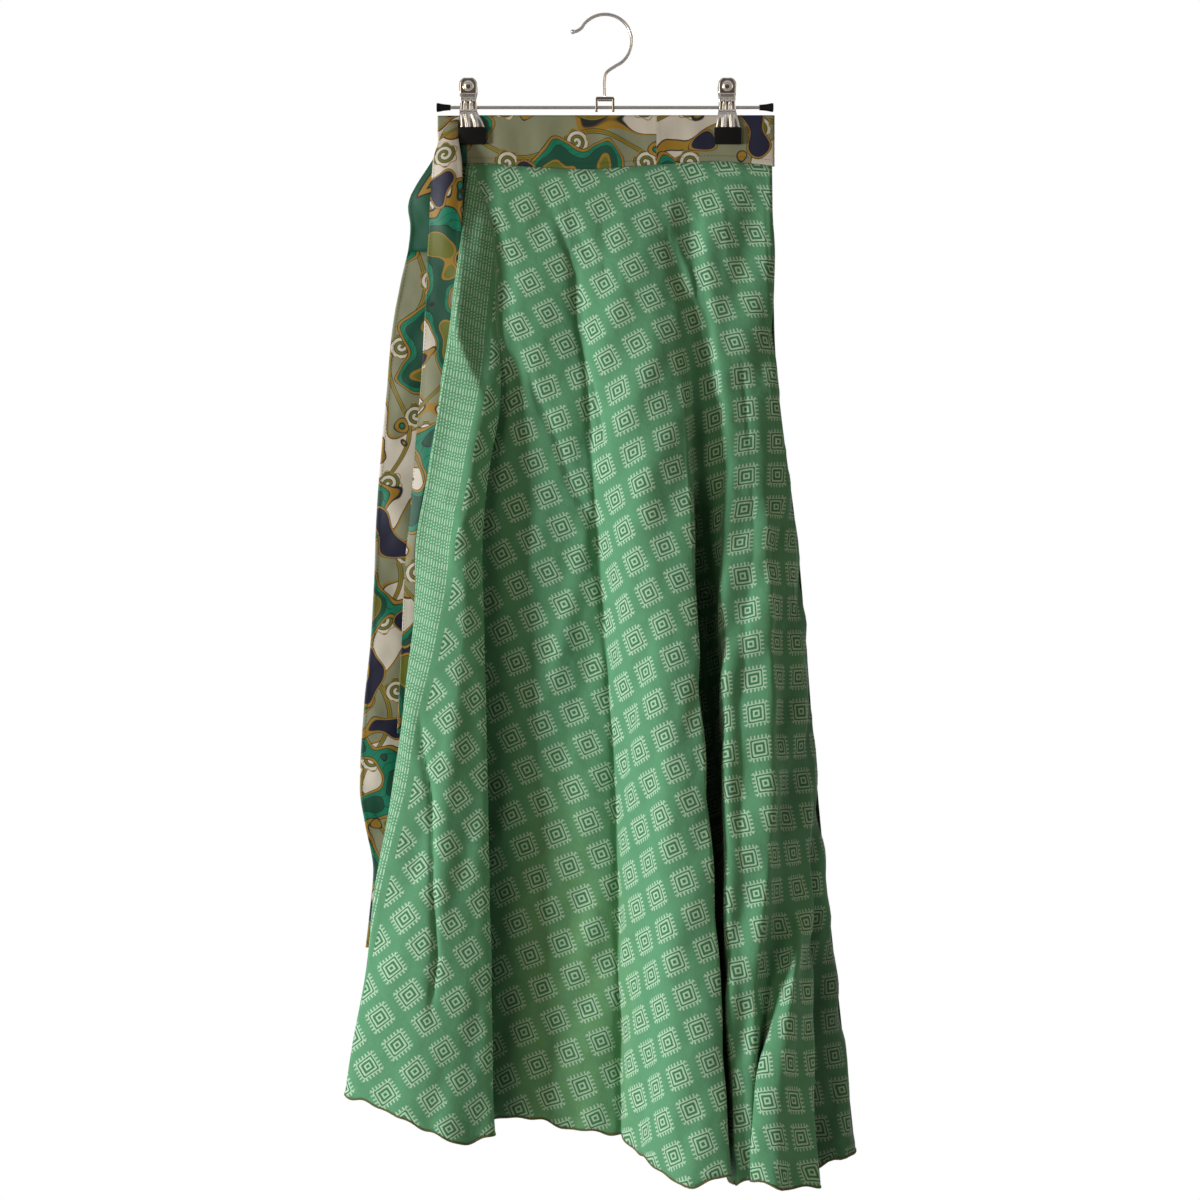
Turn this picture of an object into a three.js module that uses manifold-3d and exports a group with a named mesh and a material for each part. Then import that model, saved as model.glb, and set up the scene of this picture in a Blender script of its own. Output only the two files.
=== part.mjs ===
// Wrap skirt hung on a chrome clip hanger.
// Millimetres, +Z up. The origin is the seat inside the top of the hook, the front faces -Y,
// and the skirt hangs down along -Z. One flared cloth goes round in three runs: the front run
// shows, it turns back at the right fold, and at the left fold it turns again into the underlap.
import * as THREE from 'three';
import { mergeVertices } from 'three/addons/utils/BufferGeometryUtils.js';
import Module from 'manifold-3d';

const wasm = await Module();
wasm.setup();

// ---- Driving dimensions ----
const clothThickness = 1.2;
const seamGap = 0.3;            // between two sewn pieces, and between a piece and its seat
const bandPitch = 2.0;          // from one layer of the folded waistband to the next
const bandTop = -89;
const bandFront = -130;         // leading end of the waistband
const bandRight = 149;          // middle of its right fold
const bandLeft = -148;          // middle of its left fold
const bandUnderEnd = 125;       // end of the band under the front
const bandStep = 14;            // between the band's columns
const ringCount = 14;           // rings of points from the waist seam to the hem
const stepsPerFold = 3;         // columns from one fold row to the next

const rodHeight = -81.7;
const rodRadius = 1.5;
const rodEnd = 148;
const hookRadius = 24;          // to the middle of the wire
const hookWire = 1.5;
const yokeTop = -72.6;
const clipCentres = { left: -121.9, right: 109 };
const clipPadShift = { left: 3.6, right: 0.4 };
const plateThickness = 1.0;
const rivetHeight = -63.4;

const levels = ['waist', 'hip', 'thigh', 'knee', 'hem'];
const levelHeight = { hip: -280, thigh: -486, knee: -700 };

// The waist seam, where the skirt is sewn to the band.
const seamLine = named(['x', 'z'], [
  [-150, -132],
  [-110, -132],
  [-65, -135],
  [-18, -137],
  [40, -133.5],
  [100, -130],
  [135, -132.5],
  [152, -134.5],
]);

// Front run, one row a fold, from the leading edge to the right fold. At each level a fold has
// its place across and its depth; lips and tucks lie where the cloth doubles back under itself.
const frontFolds = named(
  ['fold', 'waistX', 'hipX', 'thighX', 'kneeX', 'hemX', 'hipY', 'thighY', 'kneeY', 'hemY', 'hemZ'], [
    ['edge', -124, -141, -170, -184, -187, -5, -18, -14, -14, -965],
    ['turn', -120, -136, -164, -191, -228, -9, -27, -32, -40, -954],
    ['flapRidge', -111, -125, -138, -153, -150, -16, -42, -54, -66, -994],
    ['flapLip', -105, -115, -108, -104, -97, -11, -33, -44, -56, -987],
    ['flapTuck', -101, -111, -120, -121, -122, -6, -18, -22, -30, -985],
    ['valleyLeft', -95, -104, -94, -86, -82, -3, -6, -9, -18, -980],
    ['slope', -78, -86, -65, -51, -40, -5, -12, -14, -24, -986],
    ['crease', -35, -20, -5, 10, 15, -3, -9, -13, -22, -996],
    ['flank', -13, 1, 11, 25, 35, -14, -36, -48, -64, -1011],
    ['crest', 24, 40, 51, 68, 81, -24, -58, -82, -102, -1025],
    ['lip', 60, 68, 79, 90, 108, -17, -44, -62, -80, -1015],
    ['tuck', 70, 77, 73, 78, 94, -8, -20, -28, -38, -1022],
    ['valleyRight', 81, 86, 92, 95, 109, -3, -5, -6, -16, -1028],
    ['rise', 95, 101, 109, 112, 120, -6, -14, -22, -34, -1031],
    ['ridgeRight', 120, 129, 146, 146, 129, -13, -30, -44, -54, -1027],
    ['dip', 128, 135, 155, 156, 143, -7, -18, -26, -34, -1024],
    ['gussetRidge', 133, 139, 161, 168, 164, -7, -21, -36, -72, -1031],
    ['gussetLip', 138, 143, 165, 180, 184, -5, -17, -30, -60, -1029],
    ['gussetTuck', 142, 146, 164, 174, 178, -3, -10, -17, -36, -1024],
    ['side', 147, 149.5, 171, 187.5, 217, -1, -4, -8, -20, -1014],
  ]);
const rightFold = named(
  ['fold', 'waistX', 'hipX', 'thighX', 'kneeX', 'hemX', 'hipY', 'thighY', 'kneeY', 'hemY', 'hemZ'], [
    ['rightFold', 149, 151.2, 173.5, 190.5, 223, 2, 2, 2, -2, -1012],
  ]);
const leftFold = named(
  ['fold', 'waistX', 'hipX', 'thighX', 'kneeX', 'hemX', 'hipY', 'thighY', 'kneeY', 'hemY', 'hemZ'], [
    ['leftFold', -148.7, -146.5, -153, -167, -206, 4.3, 6.5, 8.5, 10, -946],
  ]);

// The back run and the underlap swing between an inner and an outer depth at each level.
const backLevels = named(['level', 'left', 'right', 'inner', 'outer'], [
  ['waist', -147.9, 147, 2, 2],
  ['hip', -144, 149, 6.2, 9.5],
  ['thigh', -150, 170, 9.5, 18],
  ['knee', -163, 186, 13, 32],
  ['hem', -200, 214, 20, 52],
]);
const backFolds = named(['fold', 'across', 'outward', 'hemZ'], [
  ['sideEnd', 1, 0, -1006],
  ['ridgeA', 0.93, 0.7, -1004],
  ['valleyA', 0.84, 0.1, -1001],
  ['ridgeB', 0.74, 1, -998],
  ['valleyB', 0.63, 0, -994],
  ['ridgeC', 0.52, 0.85, -990],
  ['valleyC', 0.41, 0.1, -985],
  ['ridgeD', 0.3, 1, -978],
  ['valleyD', 0.19, 0, -970],
  ['ridgeE', 0.09, 0.75, -960],
  ['foldEnd', 0, 0, -950],
]);
const underLevels = named(['level', 'left', 'right', 'inner', 'outer'], [
  ['waist', -147.9, 122, 0, 0],
  ['hip', -144, 118, 2.4, 1.4],
  ['thigh', -150, 130, 4, 1],
  ['knee', -163, 142, 4.5, -0.5],
  ['hem', -198, 165, 4, -5],
]);
const underFolds = named(['fold', 'across', 'outward', 'hemZ'], [
  ['foldEnd', 0, 0, -944],
  ['ridgeA', 0.14, 0.9, -950],
  ['valleyA', 0.27, 0.1, -956],
  ['ridgeB', 0.4, 1, -962],
  ['valleyB', 0.55, 0, -968],
  ['ridgeC', 0.7, 0.8, -976],
  ['valleyC', 0.86, 0.1, -984],
  ['edge', 1, 0.5, -990],
]);

// Ties: the place of both edges, the depth of each, and how far the middle swells forward.
const tieColumns = ['z', 'left', 'right', 'leftY', 'rightY', 'swell'];
const frontTie = named(tieColumns, [
  [-93, -136, -131, -2, -2, 0.2],
  [-105, -145, -133, -3.5, -2.5, 1],
  [-118, -149.5, -134, -4.5, -3.5, 1.5],
  [-131, -153, -133.5, -5, -4, 2],
  [-146, -154, -131, -5, -3.5, 2.5],
  [-162, -155, -130, -5, -2.5, 2],
  [-184, -156, -133, -4.6, -1.6, 1.4],
  [-223, -158, -127, -3.6, -0.9, 0.5],
  [-263, -160, -120, -3.4, -1.2, 0.4],
  [-318, -163, -119, -5, -2.5, 0.5],
  [-380, -168, -124, -8, -5.5, 1],
  [-431, -171, -127, -10, -8, 1],
  [-485, -174, -130, -12, -10, 1],
  [-560, -178, -134, -11, -8, 1],
  [-640, -183, -140, -9.5, -6, 1],
]);
const backTieUpper = named(tieColumns, [
  [-112, -149, -141, 4, 4, 0],
  [-123, -152, -141, 5, 4.6, 0.3],
  [-136, -160, -142, 7, 5.5, 1],
  [-151, -170, -141, 9, 6, 2],
  [-161, -175, -140, 10, 7, 3],
  [-170, -176.5, -138, 11, 8, 3],
  [-186, -174.5, -136, 12, 9.5, 2],
  [-209, -177, -134, 13, 12, 1],
]);
const backTieLower = named(tieColumns, [
  [-209, -177, -134, 13, 12, 1],
  [-238, -184, -139, 14, 13, 1],
  [-278, -191, -145, 15, 14, 2],
  [-320, -195, -149, 16, 16, 2.5],
  [-385, -201, -155, 18, 20, 2],
  [-450, -206, -160, 19, 22, 3],
  [-505, -208, -162, 20, 24, 1],
  [-557, -211, -164, 21, 25, 3],
  [-615, -217, -170, 22, 26, 2],
  [-690, -221, -174, 22, 26, 3],
  [-725, -216, -170, 23, 26, 1.5],
  [-765, -209, -163, 24, 28, 3],
  [-800, -212, -166, 24, 28, 2],
  [-835, -216, -170, 24, 28, 2],
]);

// A clip plate from its top to the pad: half width, and distance from the rod's middle.
const plateRows = named(['z', 'halfWidth', 'away'], [
  [-56.3, 3.2, 5.3],
  [-57.6, 5.6, 5.3],
  [-60.2, 7.4, 5.3],
  [-63.4, 7.9, 5.3],
  [-68.8, 7.6, 5.3],
  [-73, 7.1, 3.9],
  [-78, 7.1, 2.5],
  [-84.5, 7.5, 2.6],
  [-88, 8.1, 3.9],
  [-94, 9.5, 4.3],
  [-100, 10.6, 4.4],
]);
const plateColumns = [-1, -0.86, -0.5, -0.36, -0.22, 0, 0.22, 0.36, 0.5, 0.86, 1];
const ribPlace = 0.36;          // of the half width
const ribDepth = 0.8;
const ribTop = -78;
const padWidth = 24;
const padHeight = 15;
const padThickness = 3;

// ---- Materials ----
const skirtCloth = new THREE.MeshStandardMaterial({ color: 0x5fa578, roughness: 0.85 });
const underlapCloth = new THREE.MeshStandardMaterial({ color: 0x4c8a62, roughness: 0.88 });
const printCloth = new THREE.MeshStandardMaterial({ color: 0xb9b49a, roughness: 0.6 });
const plainGreenCloth = new THREE.MeshStandardMaterial({ color: 0x0b4f38, roughness: 0.6 });
const chrome = new THREE.MeshStandardMaterial({ color: 0xb8b4b0, roughness: 0.18, metalness: 1 });
const blackRubber = new THREE.MeshStandardMaterial({ color: 0x111111, roughness: 0.6 });

// ---- Helpers ----

function named(columns, rows) {
  return rows.map((row) => Object.fromEntries(columns.map((column, i) => [column, row[i]])));
}

// A smooth value through knots with no overshoot between them.
function smooth(knots, values, at) {
  const last = knots.length - 1;
  const rate = (i) => (values[i + 1] - values[i]) / (knots[i + 1] - knots[i]);
  const slope = (i) => {
    if (i === 0) return rate(0);
    if (i === last) return rate(last - 1);
    const before = rate(i - 1);
    const after = rate(i);
    return before * after <= 0 ? 0 : (2 * before * after) / (before + after);
  };
  let i = 0;
  while (i < last - 1 && at > knots[i + 1]) i += 1;
  const span = knots[i + 1] - knots[i];
  const t = THREE.MathUtils.clamp((at - knots[i]) / span, 0, 1);
  const t2 = t * t;
  const t3 = t2 * t;
  return (2 * t3 - 3 * t2 + 1) * values[i] + (t3 - 2 * t2 + t) * span * slope(i)
    + (3 * t2 - 2 * t3) * values[i + 1] + (t3 - t2) * span * slope(i + 1);
}

function seamHeight(x) {
  return smooth(seamLine.map((p) => p.x), seamLine.map((p) => p.z), x);
}

function addMesh(name, geometry, material) {
  const mesh = new THREE.Mesh(geometry, material);
  mesh.name = name;
  part.add(mesh);
  return mesh;
}

// Unit normals of a grid of points, indexed [ring][column]. They are level at the first and
// last rings, so that those edges of a wall stay at their height.
function gridNormals(grid) {
  return grid.map((ring, i) => ring.map((point, j) => {
    const above = grid[Math.max(i - 1, 0)][j];
    const below = grid[Math.min(i + 1, grid.length - 1)][j];
    const before = ring[Math.max(j - 1, 0)];
    const after = ring[Math.min(j + 1, ring.length - 1)];
    const down = new THREE.Vector3().subVectors(below, above);
    const across = new THREE.Vector3().subVectors(after, before);
    const normal = across.cross(down);
    if (i === 0 || i === grid.length - 1) normal.z = 0;
    return normal.normalize();
  }));
}

// A closed wall round a grid of its middle points. The rings run downwards, and the columns
// run to the right when the wall's front is looked at.
function wallGeometry(grid, thickness, normals = gridNormals(grid)) {
  const rings = grid.length;
  const columns = grid[0].length;
  const positions = [];
  for (const side of [-0.5, 0.5]) {
    grid.forEach((ring, i) => ring.forEach((point, j) => {
      const p = point.clone().addScaledVector(normals[i][j], side * thickness);
      positions.push(p.x, p.y, p.z);
    }));
  }
  const at = (side, i, j) => side * rings * columns + i * columns + j;
  const index = [];
  const quad = (a, b, c, d) => index.push(a, c, b, a, d, c);
  for (let i = 0; i < rings - 1; i += 1) {
    for (let j = 0; j < columns - 1; j += 1) {
      quad(at(0, i, j), at(0, i, j + 1), at(0, i + 1, j + 1), at(0, i + 1, j));
      quad(at(1, i, j), at(1, i + 1, j), at(1, i + 1, j + 1), at(1, i, j + 1));
    }
    quad(at(0, i, 0), at(0, i + 1, 0), at(1, i + 1, 0), at(1, i, 0));
    const end = columns - 1;
    quad(at(0, i, end), at(1, i, end), at(1, i + 1, end), at(0, i + 1, end));
  }
  for (let j = 0; j < columns - 1; j += 1) {
    quad(at(0, 0, j), at(1, 0, j), at(1, 0, j + 1), at(0, 0, j + 1));
    const foot = rings - 1;
    quad(at(0, foot, j), at(0, foot, j + 1), at(1, foot, j + 1), at(1, foot, j));
  }
  const geometry = new THREE.BufferGeometry();
  geometry.setAttribute('position', new THREE.Float32BufferAttribute(positions, 3));
  geometry.setIndex(index);
  geometry.computeVertexNormals();
  return geometry;
}

function asManifold(geometry) {
  const bare = geometry.clone();
  bare.deleteAttribute('normal');
  bare.deleteAttribute('uv');
  const welded = mergeVertices(bare, 1e-4);
  return new wasm.Manifold(new wasm.Mesh({
    numProp: 3,
    vertProperties: new Float32Array(welded.attributes.position.array),
    triVerts: new Uint32Array(welded.index.array),
  }));
}

function asGeometry(manifold) {
  const { vertProperties, triVerts } = manifold.getMesh();
  const geometry = new THREE.BufferGeometry();
  geometry.setAttribute('position', new THREE.Float32BufferAttribute(vertProperties, 3));
  geometry.setIndex(new THREE.Uint32BufferAttribute(triVerts, 1));
  geometry.computeVertexNormals();
  return geometry;
}

// ---- Skirt ----

// A fold row as its places and depths at the five levels.
function foldRow(row, waistY) {
  return {
    x: levels.map((level) => row[`${level}X`]),
    y: [waistY, row.hipY, row.thighY, row.kneeY, row.hemY],
    hemZ: row.hemZ,
  };
}

function swingingRow(fold, levelRows) {
  return {
    x: levelRows.map((level) => THREE.MathUtils.lerp(level.left, level.right, fold.across)),
    y: levelRows.map((level) => THREE.MathUtils.lerp(level.inner, level.outer, fold.outward)),
    hemZ: fold.hemZ,
  };
}

// The whole cloth as one grid, wound from the leading edge round to the underlap's edge.
function skirtGrid() {
  const rows = [
    ...frontFolds.map((row) => foldRow(row, -bandPitch)),
    foldRow(rightFold[0], 0),
    ...backFolds.map((fold) => swingingRow(fold, backLevels)),
    foldRow(leftFold[0], bandPitch / 2),
    ...underFolds.map((fold) => swingingRow(fold, underLevels)),
  ];
  const grid = [];
  for (let ring = 0; ring <= ringCount; ring += 1) {
    const points = rows.map((row) => {
      const top = seamHeight(row.x[0]) - seamGap / 2;
      const z = THREE.MathUtils.lerp(top, row.hemZ, ring / ringCount);
      const knots = [-top, -levelHeight.hip, -levelHeight.thigh, -levelHeight.knee, -row.hemZ];
      return new THREE.Vector3(smooth(knots, row.x, -z), smooth(knots, row.y, -z), z);
    });
    const section = new THREE.CatmullRomCurve3(points, false, 'centripetal');
    grid.push(section.getPoints((rows.length - 1) * stepsPerFold));
  }
  grid[0].forEach((point) => { point.z = seamHeight(point.x) - seamGap / 2; });
  return grid;
}

// One sewn panel: the columns between two fold rows, pulled back from each seam.
function addPanel(name, grid, normals, firstFold, lastFold, material) {
  const first = firstFold * stepsPerFold;
  const last = lastFold * stepsPerFold;
  const points = grid.map((ring) => ring.slice(first, last + 1).map((point) => point.clone()));
  const panelNormals = normals.map((ring) => ring.slice(first, last + 1));
  const isSeam = [first > 0, last < grid[0].length - 1];
  points.forEach((ring) => {
    const pull = (end, next) => {
      const inward = new THREE.Vector3().subVectors(next, end).normalize();
      end.addScaledVector(inward, seamGap / 2);
    };
    if (isSeam[0]) pull(ring[0], ring[1]);
    if (isSeam[1]) pull(ring[ring.length - 1], ring[ring.length - 2]);
  });
  addMesh(name, wallGeometry(points, clothThickness, panelNormals), material);
}

function addSkirt() {
  const grid = skirtGrid();
  const normals = gridNormals(grid);
  const rightSeam = frontFolds.length;
  const leftSeam = rightSeam + backFolds.length + 1;
  const underEdge = leftSeam + underFolds.length;
  addPanel('front_panel', grid, normals, 0, rightSeam, skirtCloth);
  addPanel('back_panel', grid, normals, rightSeam, leftSeam, skirtCloth);
  addPanel('underlap_panel', grid, normals, leftSeam, underEdge, underlapCloth);
}

// The waistband goes round as the skirt does, in a flat spiral of three layers.
function addWaistband() {
  const plan = [];
  const straight = (from, to, y) => {
    const steps = Math.ceil(Math.abs(to - from) / bandStep);
    for (let i = 0; i <= steps; i += 1) plan.push([THREE.MathUtils.lerp(from, to, i / steps), y]);
  };
  const turn = (x, y, radius, side) => {
    const steps = 6;
    for (let i = 1; i < steps; i += 1) {
      const angle = (Math.PI * i) / steps;
      plan.push([x + side * radius * Math.sin(angle), y - side * radius * Math.cos(angle)]);
    }
  };
  straight(bandFront, bandRight, -bandPitch);
  turn(bandRight, 0, bandPitch, 1);
  straight(bandRight, bandLeft, bandPitch);
  turn(bandLeft, bandPitch / 2, bandPitch / 2, -1);
  straight(bandLeft, bandUnderEnd, 0);
  const rows = 3;
  const grid = Array.from({ length: rows }, (_, i) => plan.map(([x, y]) => {
    const foot = seamHeight(x) + seamGap / 2;
    return new THREE.Vector3(x, y, THREE.MathUtils.lerp(bandTop, foot, i / (rows - 1)));
  }));
  addMesh('waistband', wallGeometry(grid, clothThickness), printCloth);
}

function addTie(name, rows, material, topGap = 0, footGap = 0) {
  const columns = 6;
  const heights = rows.map((row) => -row.z);
  const rings = Math.ceil((rows[0].z - rows[rows.length - 1].z) / 26);
  const grid = [];
  for (let i = 0; i <= rings; i += 1) {
    const top = rows[0].z - topGap;
    const foot = rows[rows.length - 1].z + footGap;
    const z = THREE.MathUtils.lerp(top, foot, i / rings);
    const value = (column) => smooth(heights, rows.map((row) => row[column]), -z);
    const ring = [];
    for (let j = 0; j <= columns; j += 1) {
      const t = j / columns;
      const y = THREE.MathUtils.lerp(value('leftY'), value('rightY'), t);
      const x = THREE.MathUtils.lerp(value('left'), value('right'), t);
      ring.push(new THREE.Vector3(x, y - value('swell') * Math.sin(Math.PI * t), z));
    }
    grid.push(ring);
  }
  addMesh(name, wallGeometry(grid, clothThickness), material);
}

// ---- Hanger ----

function addTube(name, curve, radius, steps, sides, material) {
  const circle = new THREE.Shape();
  circle.absarc(0, 0, radius, 0, 2 * Math.PI, false);
  const geometry = new THREE.ExtrudeGeometry(circle, {
    extrudePath: curve,
    steps,
    curveSegments: sides,
    bevelEnabled: false,
  });
  return addMesh(name, geometry, material);
}

// A round wire hook: an outward tip, an arc over the seat and down, then the straight shank.
function addHook() {
  const centreZ = hookWire - hookRadius;
  const points = [
    new THREE.Vector3(-29, 0, -14.2),
    new THREE.Vector3(-25.5, 0, -13.6),
  ];
  for (let degrees = 150; degrees >= -66; degrees -= 12) {
    const angle = THREE.MathUtils.degToRad(degrees);
    points.push(new THREE.Vector3(hookRadius * Math.cos(angle), 0, centreZ + hookRadius * Math.sin(angle)));
  }
  points.push(new THREE.Vector3(1.6, 0, -50.5));
  points.push(new THREE.Vector3(0, 0, -56));
  points.push(new THREE.Vector3(0, 0, yokeTop + seamGap));
  addTube('hook', new THREE.CatmullRomCurve3(points, false, 'centripetal'), hookWire, 48, 5, chrome);
}

// The yoke joins hook and rod: a short bar with a drilled leg at each end.
function addYoke() {
  const halfSpan = 8.6;
  const legThickness = 2.2;
  const barHeight = 3;
  const halfDepth = 3.4;
  const bar = new THREE.BoxGeometry(2 * halfSpan, 2 * halfDepth, barHeight);
  bar.translate(0, 0, yokeTop - barHeight / 2);
  let yoke = asManifold(bar);
  for (const side of [-1, 1]) {
    const outline = new THREE.Shape();
    outline.moveTo(-halfDepth, yokeTop - 1);
    outline.lineTo(-halfDepth, rodHeight);
    outline.absarc(0, rodHeight, halfDepth, Math.PI, 2 * Math.PI, false);
    outline.lineTo(halfDepth, yokeTop - 1);
    const hole = new THREE.Path();
    hole.absarc(0, rodHeight, rodRadius + seamGap, 0, 2 * Math.PI, true);
    outline.holes.push(hole);
    const leg = new THREE.ExtrudeGeometry(outline, {
      depth: legThickness,
      bevelEnabled: false,
      curveSegments: 8,
    });
    // outline (x, y) becomes (y, z), and the extrusion runs along x
    leg.applyMatrix4(new THREE.Matrix4().set(0, 0, 1, 0, 1, 0, 0, 0, 0, 1, 0, 0, 0, 0, 0, 1));
    leg.translate(side > 0 ? halfSpan - legThickness : -halfSpan, 0, 0);
    yoke = yoke.add(asManifold(leg));
  }
  addMesh('yoke', asGeometry(yoke), chrome);
}

function addRod() {
  const rod = new THREE.CylinderGeometry(rodRadius, rodRadius, 2 * rodEnd, 12);
  rod.rotateZ(Math.PI / 2);
  const mesh = addMesh('rod', rod, chrome);
  mesh.position.z = rodHeight;
}

// A flared rubber cap with a blind hole, over each end of the rod.
function addRodCap(name, side) {
  const length = 12.5;
  const hole = rodRadius + seamGap;
  const holeDepth = 10.5;
  const profile = [
    new THREE.Vector2(0, holeDepth),
    new THREE.Vector2(hole, holeDepth),
    new THREE.Vector2(hole, 0),
    new THREE.Vector2(2.6, 0),
    new THREE.Vector2(3.1, length * 0.55),
    new THREE.Vector2(4, length - 0.8),
    new THREE.Vector2(3.3, length),
    new THREE.Vector2(0, length),
  ];
  const cap = new THREE.LatheGeometry(profile, 12);
  cap.rotateZ(-side * Math.PI / 2);
  const mesh = addMesh(name, cap, blackRubber);
  mesh.position.set(side * (rodEnd + seamGap - holeDepth), 0, rodHeight);
}

// One pressed plate of a clip, drilled for its rivet. facing is -1 in front and 1 behind.
function clipPlate(centre, padCentre, facing) {
  const grid = plateRows.map((row) => {
    const toPad = THREE.MathUtils.smoothstep(-row.z, 84, 100);
    const middle = THREE.MathUtils.lerp(centre, padCentre, toPad);
    return plateColumns.map((place) => {
      const onRib = Math.abs(Math.abs(place) - ribPlace) < 0.01 && row.z < ribTop ? ribDepth : 0;
      const curl = Math.abs(place) === 1 ? 0.4 : 0;
      return new THREE.Vector3(middle + place * row.halfWidth, facing * (row.away + onRib - curl), row.z);
    });
  });
  const plate = asManifold(wallGeometry(grid, plateThickness));
  const drill = new THREE.CylinderGeometry(1.9, 1.9, 12, 12);
  drill.translate(centre, facing * 5.5, rivetHeight);
  return asGeometry(plate.subtract(asManifold(drill)));
}

// The rivet holds the two plates: a shaft with a domed head outside each.
function clipRivet() {
  const shaft = 1.6;
  const head = 5;
  const under = 5.3 + plateThickness / 2 + seamGap;
  const profile = [
    new THREE.Vector2(0, -under - 1.8),
    new THREE.Vector2(head * 0.7, -under - 1.4),
    new THREE.Vector2(head, -under - 0.5),
    new THREE.Vector2(head, -under),
    new THREE.Vector2(shaft, -under),
    new THREE.Vector2(shaft, under),
    new THREE.Vector2(head, under),
    new THREE.Vector2(head, under + 0.5),
    new THREE.Vector2(head * 0.7, under + 1.4),
    new THREE.Vector2(0, under + 1.8),
  ];
  return new THREE.LatheGeometry(profile, 16);
}

function clipPad() {
  const corner = 1.6;
  const half = padWidth / 2 - corner;
  const rise = padHeight / 2 - corner;
  const outline = new THREE.Shape();
  outline.absarc(half, rise, corner, 0, Math.PI / 2, false);
  outline.absarc(-half, rise, corner, Math.PI / 2, Math.PI, false);
  outline.absarc(-half, -rise, corner, Math.PI, 1.5 * Math.PI, false);
  outline.absarc(half, -rise, corner, 1.5 * Math.PI, 2 * Math.PI, false);
  const pad = new THREE.ExtrudeGeometry(outline, {
    depth: padThickness,
    bevelEnabled: false,
    curveSegments: 3,
  });
  pad.translate(0, 0, -padThickness / 2);
  pad.rotateX(Math.PI / 2);
  return pad;
}

function addClip(side) {
  const centre = clipCentres[side];
  const padCentre = centre + clipPadShift[side];
  const padAway = bandPitch + clothThickness / 2 + seamGap + padThickness / 2;
  const plateFoot = plateRows[plateRows.length - 1].z;
  for (const [place, facing] of [['front', -1], ['back', 1]]) {
    addMesh(`clip_${side}_plate_${place}`, clipPlate(centre, padCentre, facing), chrome);
    const pad = addMesh(`clip_${side}_pad_${place}`, clipPad(), blackRubber);
    pad.position.set(padCentre, facing * padAway, plateFoot - seamGap - padHeight / 2);
  }
  const rivet = addMesh(`clip_${side}_rivet`, clipRivet(), chrome);
  rivet.position.set(centre, 0, rivetHeight);
}

// ---- Assembly ----
const part = new THREE.Group();
part.name = 'wrap_skirt_on_clip_hanger';
addHook();
addYoke();
addRod();
addRodCap('rod_cap_left', -1);
addRodCap('rod_cap_right', 1);
addClip('left');
addClip('right');
addWaistband();
addSkirt();
addTie('tie_front', frontTie, printCloth);
addTie('tie_back_upper', backTieUpper, plainGreenCloth, 0, seamGap / 2);
addTie('tie_back_lower', backTieLower, printCloth, seamGap / 2, 0);

export default part;
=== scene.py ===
import math
from functools import reduce

import bmesh
import bpy
import numpy as np
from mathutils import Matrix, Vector


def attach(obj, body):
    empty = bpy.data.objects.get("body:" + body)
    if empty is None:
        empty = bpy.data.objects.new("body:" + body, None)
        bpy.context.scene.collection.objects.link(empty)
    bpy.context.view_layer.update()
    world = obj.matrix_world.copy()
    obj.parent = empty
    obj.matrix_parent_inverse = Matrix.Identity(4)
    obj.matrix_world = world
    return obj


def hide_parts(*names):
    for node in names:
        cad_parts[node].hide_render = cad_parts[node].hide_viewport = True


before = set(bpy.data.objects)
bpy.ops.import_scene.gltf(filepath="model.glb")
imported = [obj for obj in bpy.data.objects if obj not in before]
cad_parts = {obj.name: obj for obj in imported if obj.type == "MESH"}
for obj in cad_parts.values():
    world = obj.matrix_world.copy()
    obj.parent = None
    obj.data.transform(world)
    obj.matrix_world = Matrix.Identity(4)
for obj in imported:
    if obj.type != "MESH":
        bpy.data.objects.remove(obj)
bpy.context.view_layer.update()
print("frame loaded")

# Sizes are in millimetres in the tables and in metres in the meshes.
mm = 0.001
body = "root"

view = {
    "place": (-0.00446, -2.2, -0.5214),
    "frameWidth": 1.0714,       # metres across the frame, where the skirt hangs
    "sensor": 36.0,
    "pixels": 1200,
}


def addObject(name, data):
    made = bpy.data.objects.new(name, data)
    bpy.context.collection.objects.link(made)
    return made


def addCamera():
    data = bpy.data.cameras.new("camera")
    data.sensor_width = view["sensor"]
    data.lens = view["sensor"] * -view["place"][1] / view["frameWidth"]
    data.clip_start = 0.05
    camera = addObject("camera", data)
    camera.location = view["place"]
    camera.rotation_euler = (math.pi / 2, 0, 0)
    bpy.context.scene.camera = camera


# where points in metres stand in the square frame, in its pixels
def inFrame(points):
    reach = view["pixels"] * -view["place"][1] / view["frameWidth"]
    away = points[..., 1] - view["place"][1]
    half = view["pixels"] / 2
    across = half + reach * (points[..., 0] - view["place"][0]) / away
    down = half - reach * (points[..., 2] - view["place"][2]) / away
    return across, down


addCamera()


# Gives a node's input a fixed value, or the output that feeds it.
def feed(tree, slot, value):
    if isinstance(value, Socket):
        value = value.link
    if isinstance(value, bpy.types.NodeSocket):
        tree.links.new(value, slot)
    elif isinstance(value, (tuple, list)) and len(value) == 3 and slot.type == "RGBA":
        slot.default_value = (*value, 1)
    else:
        slot.default_value = value


# Adds a node: first its settings, a ramp's stops among them, then its inputs' values or links.
def addNode(tree, kind, settings=(), inputs=()):
    made = tree.nodes.new(kind)
    for name, value in dict(settings).items():
        if name == "stops":
            elements = made.color_ramp.elements
            while len(elements) < len(value):
                elements.new(0.5)
            for stop, (at, shade) in zip(elements, value):
                stop.position, stop.color = at, (*shade, 1)
        else:
            setattr(made, name, value)
    for name, value in dict(inputs).items():
        feed(tree, made.inputs[name], value)
    return made


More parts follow.
